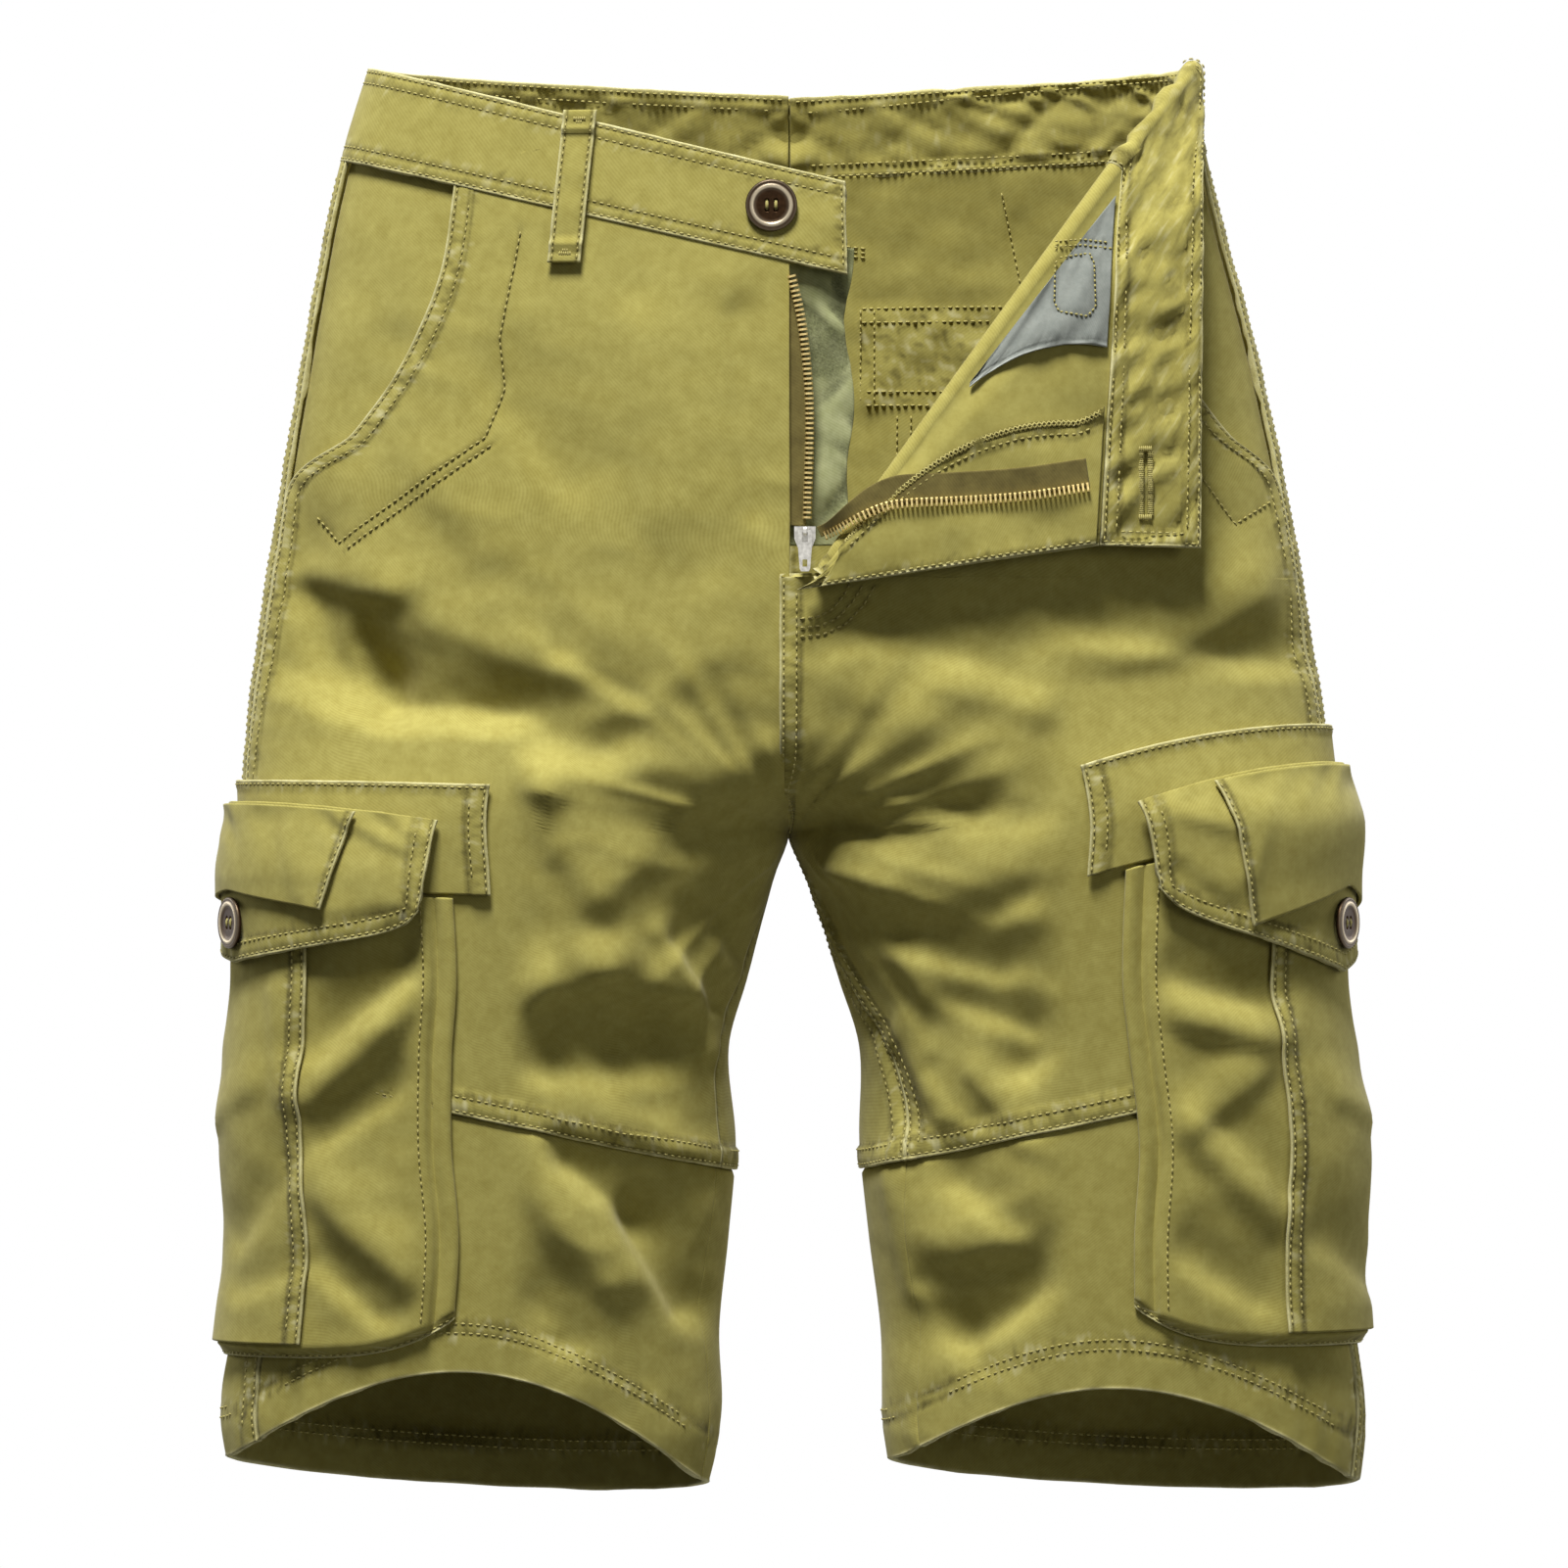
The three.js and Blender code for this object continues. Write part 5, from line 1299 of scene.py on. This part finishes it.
def rubbed_metal(name, scale, detail, dark, light, gloss, ring=None):
    """A metal whose tone and gloss follow one noise, with a ring of another tone where the mesh has one."""
    metal, shader = new_material(name)
    rub = add_noise(metal, add_node(metal, "ShaderNodeTexCoord").outputs["Object"], scale, detail)
    tone = add_mix(metal, rub, dark, light)
    if ring:
        tone = add_mix(metal, add_attribute(metal, "ring"), tone, ring)
    set_shader(metal, shader, Base_Color=tone, Roughness=add_range(metal, rub, 0, 1, *gloss), Metallic=1)
    return metal


BRASS = rubbed_metal("rubbed_brass", 900, 2, "#a58a4c", "#f0dc9c", (0.25, 0.45))
square = np.array([(-1, -1), (1, -1), (1, 1), (-1, 1)]) / 2
tooth_levels = ((1, -0.5), (1, 0.25), (TOOTH_CHAMFER, 0.5))
tooth = np.concatenate([np.column_stack([square * share, np.full(4, level)])
                        for share, level in tooth_levels]) * TOOTH
tooth_faces = [[3, 2, 1, 0], [8, 9, 10, 11]]
for low in (0, 4):
    for k in range(4):
        after = (k + 1) % 4
        tooth_faces.append([k + low, after + low, after + low + 4, k + low + 4])
z = np.arange(-91, SLIDER_Z + 4, -1.0)
right_row = (on_front(curve(TEETH_RIGHT, 1, z) + 0.4, z, -0.4), np.tile(TOWARDS_FRONT, (len(z), 1)))
v = np.linspace(0, 1, 120)
left_row = (tape_left_at(0 * v - 0.02, v) + TOWARDS_FRONT, np.tile(TOWARDS_FRONT, (len(v), 1)))
for name, row in (("right", right_row), ("left", left_row)):
    frames = frames_along([row], TOOTH_PITCH)
    copies(f"zip_teeth_{name}", tooth, tooth_faces, *frames, BRASS, "antique_brass")

# Zip slider and pull tab
# Die-cast zinc, nickel-plated and a little rubbed.
NICKEL = rubbed_metal("rubbed_nickel_plate", 700, 3, "#8f8c84", "#dedbd3", (0.35, 0.55))
for node in ("zip_slider", "zip_pull"):
    bpy.data.objects[node].material_slots[0].material = NICKEL

# Belt loops
# Strips of twill, folded in three and stitched along both edges, tacked over the waistband at both ends.
LOOP_WIDTH = 14


def loop_lift(v):
    """A loop bows out between its tacks, and its folded ends are thick."""
    ends = smooth((0.16 - np.minimum(v, 1 - v)) / 0.03)
    bow = 1.8 * np.sin(np.pi * np.clip(v, 0, 1))
    return BAND_PROUD + GAP + CLOTH + bow + 0.5 * noise(v * 4, 0, 61) + 1.6 * ends


def loop_front_right_at(u, v):
    """On the right front, leaning outwards on its way down."""
    x = mix(88, 95, v) - mix(-LOOP_WIDTH / 2, LOOP_WIDTH / 2, u)
    return skin(RIGHT, angle_at_x(RIGHT, x, mix(-20, -86, v)), mix(-21, -86, v), loop_lift(v))


def loop_front_left_at(u, v):
    """On the turned-back band, from its inner edge to its outer edge."""
    level = 0.9 - 1.2 * v
    edge = [mix(BAND_END_INNER[k], BAND_END_OUTER[k], level) for k in (0, 1)]
    across = mix(-LOOP_WIDTH / 2, LOOP_WIDTH / 2, u)
    height = mix(LAPEL_TOP + GAP, FOLD_TOP[1], level)
    return over_lapel(height, edge, 0.45 + across / 200, -loop_lift(v) - 0.2)


def on_back(side, x, z, lift):
    """A point of a back at a distance from the centre plane."""
    return skin(side, -angle_at_x(side, x, z), z, lift)


def loop_middle_at(u, v):
    """Over the centre back seam, half on each back."""
    across, z = mix(-LOOP_WIDTH / 2, LOOP_WIDTH / 2, u), mix(-9, -62, v)
    right, left = (on_back(side, np.abs(across), z, loop_lift(v)) for side in (RIGHT, LEFT))
    return np.where((across < 0)[..., None], right, left)


loops = [
    ("front_right", loop_front_right_at, -1),
    ("front_left", loop_front_left_at, 1),
    ("back_middle", loop_middle_at, 1),
]
for side, name in ((RIGHT, "back_right"), (LEFT, "back_left")):
    def loop_back_at(u, v, side=side):
        """100 mm from the centre of the back."""
        across = mix(-LOOP_WIDTH / 2, LOOP_WIDTH / 2, u)
        return on_back(side, 100 + across, mix(-5, -58, v), loop_lift(v))
    loops.append((name, loop_back_at, side.sign))
for name, at, facing in loops:
    sheet = lay(at, LOOP_WIDTH, 60, 1.2, facing)
    tacks = np.exp(-((np.minimum(sheet.top, sheet.bottom) - 4.5) / 1.2) ** 2)
    lift_by(sheet, -0.9 * tacks)
    # painted shade where the tacks press the loop in
    sheet.painted_shade = 0.5 * tacks
    for edge in ("left", "right"):
        turned_edge(sheet, edge, rows=(1.8,), raised=0.1, pucker=0.15, seed=63)
    piece = shell(f"belt_loop_{name}_cloth", [sheet], material=TWILL, replaced=[f"belt_loop_{name}"])
    sew(f"belt_loop_{name}_stitches", rows_along(sheet, left=(1.8,), right=(1.8,)))
    bars = [trace(sheet, edge, away) for edge in ("top", "bottom") for away in (3.8, 5.2)]
    sew(f"belt_loop_{name}_tacks", bars, pitch=0.9, length=2.2, slant=np.pi / 2)

# Cargo pockets
# On each thigh's side: a patch sewn flat on the leg, a pocket with folded sides below it, a strip down its
# middle, and over them a pointed flap under a narrower tab. All are twill, and most edges are stitched twice.
LAYER_GAP = 0.8
RIGHT.cargo = SimpleNamespace(flap_top=-314, flap_droop=8, flap_ends=46, flap_point=-383, patch_droop=2,
                              tab_corner=-360, tab_middle=-352, bottom=-546)
LEFT.cargo = SimpleNamespace(flap_top=-297, flap_droop=17, flap_ends=44, flap_point=-387, patch_droop=18,
                             tab_corner=-367, tab_middle=-350, bottom=-541)
CARGO_MIDDLE, CARGO_HALF, CARGO_STAND = 21, 91, 3.8
PATCH_HALF, PATCH_DEPTH = 118, 47
STRIP_HALF = 38
# the flap's and the tab's half widths at the top and at the foot, and how far out the flap's slack reaches
FLAP_TOP_HALF, FLAP_FOOT_HALF, TAB_TOP_HALF, TAB_FOOT_HALF, FLAP_HALF = 98, 89, 64, 50, 92
# the shares of the pocket's half width and height where its gusset and foot begin
GUSSET_FROM, FOOT_FROM = 0.86, 0.95
GUSSET_ROW = 2.6
EDGE_ROWS = (1.8, 7.6)
# folds from (across, z) to (across, z), with their width and rise
FLAP_FOLDS = {
    "right": [
        (58, -322, 84, -334, 4, 1.2),
        (72, -316, 90, -330, 3, 1),
        (46, -362, 82, -356, 5, 1.2),
        (34, -330, 40, -352, 6, 1),
        (-40, -330, -80, -342, 6, 1.2),
    ],
    "left": [
        (84, -318, 58, -326, 4, 1.2),
        (80, -336, 60, -352, 6, 1.3),
        (44, -318, 52, -344, 5, 1),
        (60, -306, 50, -322, 3, 1),
        (-40, -330, -80, -342, 6, 1.2),
    ],
}
POCKET_FOLDS = {
    "right": [
        (42, -418, 86, -380, 11, -3.4),
        (42, -440, 90, -396, 9, 3.2),
        (38, -462, 84, -430, 9, -2),
        (30, -470, 2, -500, 8, -2.5),
        (12, -436, -22, -452, 9, 2.5),
        (34, -512, 6, -522, 7, -2),
        (44, -482, 84, -516, 11, 2.6),
        (46, -512, 70, -532, 7, -2.4),
        (22, -396, 30, -440, 7, 2),
        (-44, -430, -76, -476, 10, -2.2),
        (-40, -500, -74, -484, 9, 1.8),
    ],
    "left": [
        (40, -398, 86, -388, 10, -3),
        (40, -414, 88, -404, 9, 2.6),
        (44, -424, 84, -452, 10, 2.2),
        (40, -478, 78, -440, 9, -1.8),
        (44, -490, 84, -452, 10, 2.6),
        (20, -500, -20, -520, 9, -2.6),
        (10, -440, -26, -452, 8, 2.4),
        (50, -526, 82, -504, 9, -2.4),
        (-44, -440, -74, -474, 10, -2.2),
        (-48, -510, -76, -492, 9, 1.8),
    ],
}


def on_arc(side, arc, z, lift):
    """A point at a distance along the surface from the side line, over 0 towards the front: the arc length
    is summed in steps of one degree."""
    arc, z, lift = np.broadcast_arrays(arc, z, lift)
    s = section(side, z)
    depth = np.where(arc > 0, s.front, s.back)
    step, angle, left = np.radians(1), np.zeros(arc.shape), np.abs(arc).astype(float)
    for _ in range(110):
        middle = angle + step / 2
        length = np.hypot(s.half * np.sin(middle), depth * np.cos(middle)) * step
        angle = angle + step * np.clip(left / length, 0, 1)
        left = np.maximum(left - length, 0)
    return skin(side, np.sign(arc) * angle, z, lift)


def build_layers(group, name, layers, facing, raised, pucker, seed, more_lines):
    """Build a pocket's pieces from their table, each with its edges turned in and stitched."""
    for part, at, width, length, wall, edges, flat, area in layers:
        sheet = lay(at, width, length, 3, facing)
        sheet.thickness[:] = wall
        for number, (edge, rows) in enumerate(edges.items()):
            turned_edge(sheet, edge, rows=rows, raised=raised, pucker=pucker, seed=seed + number)
        node = f"{group}_{part}_{name}"
        piece = shell(f"{node}_cloth", [sheet], material=TWILL, replaced=[node])
        sew(f"{node}_stitches", rows_along(sheet, **edges) + more_lines.get(part, []))


for name, side in (("right", RIGHT), ("left", LEFT)):
    cargo, facing = side.cargo, side.sign

    def on_pocket_side(across, z, lift):
        """A point at a distance from the pocket's middle line."""
        return on_arc(side, CARGO_MIDDLE + across, z, lift)

    def patch_at(u, v):
        """The patch, whose top edge droops towards both ends."""
        top = side.patch_top - cargo.patch_droop * (2 * u - 1) ** 2
        return on_pocket_side(mix(-PATCH_HALF, PATCH_HALF, u), top - PATCH_DEPTH * v, LAYER_GAP + CLOTH)

    def pocket_top(across):
        """The pocket's top edge, just below the patch."""
        return side.patch_top - cargo.patch_droop * (across / PATCH_HALF) ** 2 - PATCH_DEPTH - 1.5

    def pocket_bottom(across):
        """The pocket's foot, which rises at both corners."""
        return cargo.bottom + 10 * np.abs(across / CARGO_HALF) ** 5

    stand = CARGO_STAND + CLOTH
    on_pocket = stand + LAYER_GAP + CLOTH

    def pocket_sag(across, z):
        """The pocket's own slack: its folds and a few soft waves, which die out at its stitched edges."""
        off = np.abs(across)
        inside = smooth((CARGO_HALF - off) / 14) * (0.45 + 0.55 * smooth((off - STRIP_HALF + 2) / 16))
        waves = 1.0 * noise(across / 40 + 3, z / 30, 71 + facing) + 0.6 * noise(across / 17, z / 12, 73)
        return inside * (waves + 1.7 * fold_height(POCKET_FOLDS[name], across, z))

    def pocket_at(u, v):
        """The pocket's face, with its gusset and foot folded down and out round three sides."""
        way = 2 * u - 1
        side_turn = np.clip((np.abs(way) - GUSSET_FROM) / (1 - GUSSET_FROM), 0, 1)
        share = np.clip(way / GUSSET_FROM, -1, 1)
        outwards = 3 * smooth(side_turn * 2) + 8 * smooth(side_turn * 2 - 1)
        across = CARGO_HALF * share + np.sign(way) * outwards
        foot_turn = np.clip((v - FOOT_FROM) / (1 - FOOT_FROM), 0, 1)
        z = mix(pocket_top(across), pocket_bottom(across), np.clip(v / FOOT_FROM, 0, 1)) - 5 * foot_turn
        down = np.maximum(smooth(side_turn * 2.5), smooth(foot_turn * 1.2))
        second = 2.6 * np.exp(-(((side_turn - 0.8) / 0.16) ** 2)) * (1 - foot_turn)
        return on_pocket_side(across, z, mix(stand + pocket_sag(across, z), 1.2, down) + second)

    def strip_at(u, v):
        """The strip down the pocket's middle, on the pocket's own folds."""
        across = mix(-STRIP_HALF, STRIP_HALF, u)
        z = mix(pocket_top(across) - 1, pocket_bottom(across) + 1, v)
        return on_pocket_side(across, z, on_pocket + pocket_sag(across, z))

    def flap_top(across):
        """The flap's top edge, which droops towards both ends."""
        return cargo.flap_top - cargo.flap_droop * (across / FLAP_TOP_HALF) ** 2

    def flap_lift(across, z):
        """The flap's height: low over the patch, then up over the pocket, with its own folds."""
        slack = 1 + noise((across + z) / 8, (z - across) / 15, 75 + facing)
        flat_height = LAYER_GAP + CLOTH + LAYER_GAP + DOUBLED
        low = flat_height + 0.8 * smooth((FLAP_HALF - np.abs(across)) / 8) * slack
        rise = smooth((cargo.flap_top - 4 - z) / (cargo.flap_top - side.patch_top + PATCH_DEPTH - 8))
        dip = fold_height(FLAP_FOLDS[name], across, z)
        return mix(low, on_pocket + LAYER_GAP + GAP + DOUBLED + pocket_sag(across, z), rise) + dip

    def flap_at(u, v):
        """The flap, narrower downwards, with a point in the middle of its foot."""
        across = mix(-1, 1, u) * mix(FLAP_TOP_HALF, FLAP_FOOT_HALF, v)
        corner = cargo.flap_top - cargo.flap_droop - cargo.flap_ends
        off = np.abs(2 * u - 1)
        z = mix(flap_top(across), mix(cargo.flap_point, corner, off) + 7 * off ** 12, v)
        return on_pocket_side(across, z, flap_lift(across, z))

    def tab_at(u, v):
        """The tab, narrower downwards, its foot higher in the middle."""
        across = mix(-1, 1, u) * mix(TAB_TOP_HALF, TAB_FOOT_HALF, v)
        z = mix(flap_top(across) - 1, mix(cargo.tab_middle, cargo.tab_corner, np.abs(2 * u - 1)), v)
        return on_pocket_side(across, z, flap_lift(across, z) + LAYER_GAP + CLOTH + GAP)

    gusset_lines = []
    for across in (GUSSET_ROW - CARGO_HALF, CARGO_HALF - GUSSET_ROW):
        z = np.linspace(pocket_top(across) - 2, pocket_bottom(across) + 2, 130)
        level = stand + pocket_sag(across, z)
        points = on_pocket_side(across, z, level + 0.1)
        gusset_lines.append((points, on_pocket_side(across, z, level + 1.1) - points))
    both_sides = {"left": EDGE_ROWS, "right": EDGE_ROWS}
    build_layers("cargo", name, [
        # piece, shape, width, length, wall, edges with their rows, flat size, area
        ("patch", patch_at, 236, 47, CLOTH, {**both_sides, "top": (1.8,)}, (0.24, 0.05), None),
        ("pocket", pocket_at, 200, 195, CLOTH, {"bottom": (1.8,)}, (0.21, 0.21), None),
        ("strip", strip_at, 76, 190, CLOTH, {"left": (1.8, 7), "right": (1.8, 7)}, (0.08, 0.20), None),
        ("flap", flap_at, 190, 65, DOUBLED, {**both_sides, "bottom": EDGE_ROWS}, (0.20, 0.09), 0.0145),
        ("tab", tab_at, 115, 42, CLOTH, {"left": (1.5,), "right": (1.5,)}, (0.13, 0.06), None),
    ], facing, raised=0.7, pucker=0.45, seed=80, more_lines={"pocket": gusset_lines})

# Back pockets
# On each back panel a patch, a pocket with a pointed foot and a buttoned flap, all of twill.
for name, side in (("right", RIGHT), ("left", LEFT)):
    low = LAYER_GAP + CLOTH

    def back_patch_at(u, v):
        """The patch, between its two heights."""
        z = mix(BACK_PATCH.top, BACK_PATCH.foot + 1, v)
        return on_back(side, mix(BACK_PATCH.near, BACK_PATCH.far, u), z, low)

    def back_pocket_at(u, v):
        """The pocket, with a point in the middle of its foot."""
        z = mix(BACK_PATCH.foot - 0.5, BACK_POCKET.foot + 12 * np.abs(2 * u - 1), v)
        return on_back(side, mix(BACK_POCKET.near + 1, 166, u), z, low)

    def back_flap_at(u, v):
        """The flap, with a point in the middle of its foot."""
        z = mix(-103, mix(-166, -148, np.abs(2 * u - 1)), v)
        return on_back(side, mix(40, 171, u), z, low + LAYER_GAP + DOUBLED)

    build_layers("back", name, [
        # piece, shape, width, length, wall, edges with their rows, flat size, area
        ("patch", back_patch_at, 155, 45, CLOTH, {**both_sides, "top": (1.8,)}, (0.165, 0.046), None),
        ("pocket", back_pocket_at, 122, 118, CLOTH, {**both_sides, "bottom": EDGE_ROWS}, (0.13, 0.125),
         None),
        ("flap", back_flap_at, 132, 55, DOUBLED, {**both_sides, "bottom": EDGE_ROWS}, (0.14, 0.065), 0.0075),
    ], side.sign, raised=0.4, pucker=0.4, seed=90, more_lines={})

# Buttons
# Antique brass with four holes: a dark dished middle, a light rubbed ring and a dark rim, sewn on through
# the holes by six strands of thread.
BUTTON_METAL = rubbed_metal("antique_brass", 600, 3, "#1d140e", "#3e2c1c", (0.3, 0.55), ring="#a99d86")
BUTTON_RADIUS, HOLE_OFF, HOLE_RADIUS, HOLE_DEPTH = 11, 1.9, 0.85, 1.0
BUTTON_NODES = ("button_waist", "cargo_button_right", "cargo_button_left", "back_button_right",
                "back_button_left")
BUTTON_PROFILE = np.array([
    # radius as a share, height in mm, and how much of the light ring shows
    (0, 0.2, 0),
    (0.30, 0.2, 0),
    (0.55, 0.25, 0),
    (0.66, 0.55, 0.1),
    (0.71, 1.0, 1),
    (0.76, 1.15, 1),
    (0.81, 0.95, 0.6),
    (0.85, 0.7, 0),
    (0.93, 0.85, 0.1),
    (0.98, 0.5, 0.2),
    (1, 0, 0),
    (1, -0.8, 0),
    (0.96, -1.2, 0),
    (0, -1.2, 0),
])
STRAND = np.array([
    # a strand's points: both sunk ends, two corners at each end of its flat part, and its ridge
    (-2.3, 0, -0.6),
    (-1.2, -0.25, 0),
    (-1.2, 0.25, 0),
    (1.2, -0.25, 0),
    (1.2, 0.25, 0),
    (2.3, 0, -0.6),
    (0, 0, 0.45),
])
STRAND_FACES = [[0, 2, 1], [1, 6, 3], [2, 4, 6], [1, 2, 6], [3, 6, 4], [5, 3, 4], [0, 1, 5], [1, 3, 5],
                [0, 5, 2], [2, 5, 4]]
UPWARDS = np.array([0, 0, 1.0])
profile_length = length_along(BUTTON_PROFILE[:, :2] * (BUTTON_RADIUS, 1))
at = np.concatenate([np.linspace(0.2, 4, 17), np.linspace(4, profile_length[-2], 26)[1:]])
radius, height, light = at_lengths(BUTTON_PROFILE, profile_length, at).T
turn_by = np.linspace(0, 2 * np.pi, 64, endpoint=False)
a, b = (BUTTON_RADIUS * radius[:, None] * f(turn_by) for f in (np.cos, np.sin))
to_hole = np.hypot(np.abs(a) - HOLE_OFF, np.abs(b) - HOLE_OFF)
in_hole = smooth((HOLE_RADIUS + 0.25 - to_hole) / 0.4) * (height[:, None] > 0)
level = height[:, None] - HOLE_DEPTH * in_hole
k = np.arange(a.size).reshape(a.shape)
after = np.roll(k, -1, axis=1)
quads = np.stack([k[:-1], k[1:], after[1:], after[:-1]], axis=-1).reshape(-1, 4).tolist()
caps = [list(k[0]), list(k[-1][::-1])]
for node in BUTTON_NODES:
    solid = bpy.data.objects[node]
    corners = np.empty(len(solid.data.vertices) * 3)
    solid.data.vertices.foreach_get("co", corners)
    place = np.array(solid.matrix_world)
    corners = corners.reshape(-1, 3) @ place[:3, :3].T + place[:3, 3]
    middle = corners.mean(axis=0) * 1000
    # the button's axis is the direction in which its corners spread least, turned to point outwards
    up = np.linalg.svd(corners - corners.mean(axis=0), full_matrices=False)[2][2]
    up = up * np.sign(up @ (middle * (1, 1, 0)))
    side = np.cross(up, UPWARDS)
    side /= np.linalg.norm(side)
    points = middle + a[..., None] * side + b[..., None] * UPWARDS + level[..., None] * up
    mesh = bpy.data.meshes.new(f"{node}_metal")
    mesh.from_pydata(points.reshape(-1, 3) / 1000, [], quads + caps)
    mesh.polygons.foreach_set("use_smooth", [True] * len(quads) + [False] * 2)
    mesh.attributes.new("ring", "FLOAT", "POINT").data.foreach_set("value", np.repeat(light, a.shape[1]))
    mesh.materials.append(BUTTON_METAL)
    piece = bpy.data.objects.new(f"{node}_metal", mesh)
    bpy.context.collection.objects.link(piece)
    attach(piece, "garment")
    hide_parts(node)
    offsets = np.array([[sign * HOLE_OFF + shift] for sign in (-1, 1) for shift in (-0.35, 0, 0.35)])
    spots = middle + up * 0.35 + offsets * side
    along, across, outwards = (np.tile(way, (len(spots), 1)) for way in (UPWARDS, side, up))
    copies(f"{node}_thread", STRAND, STRAND_FACES, spots, along, across, outwards, THREAD, "twill")
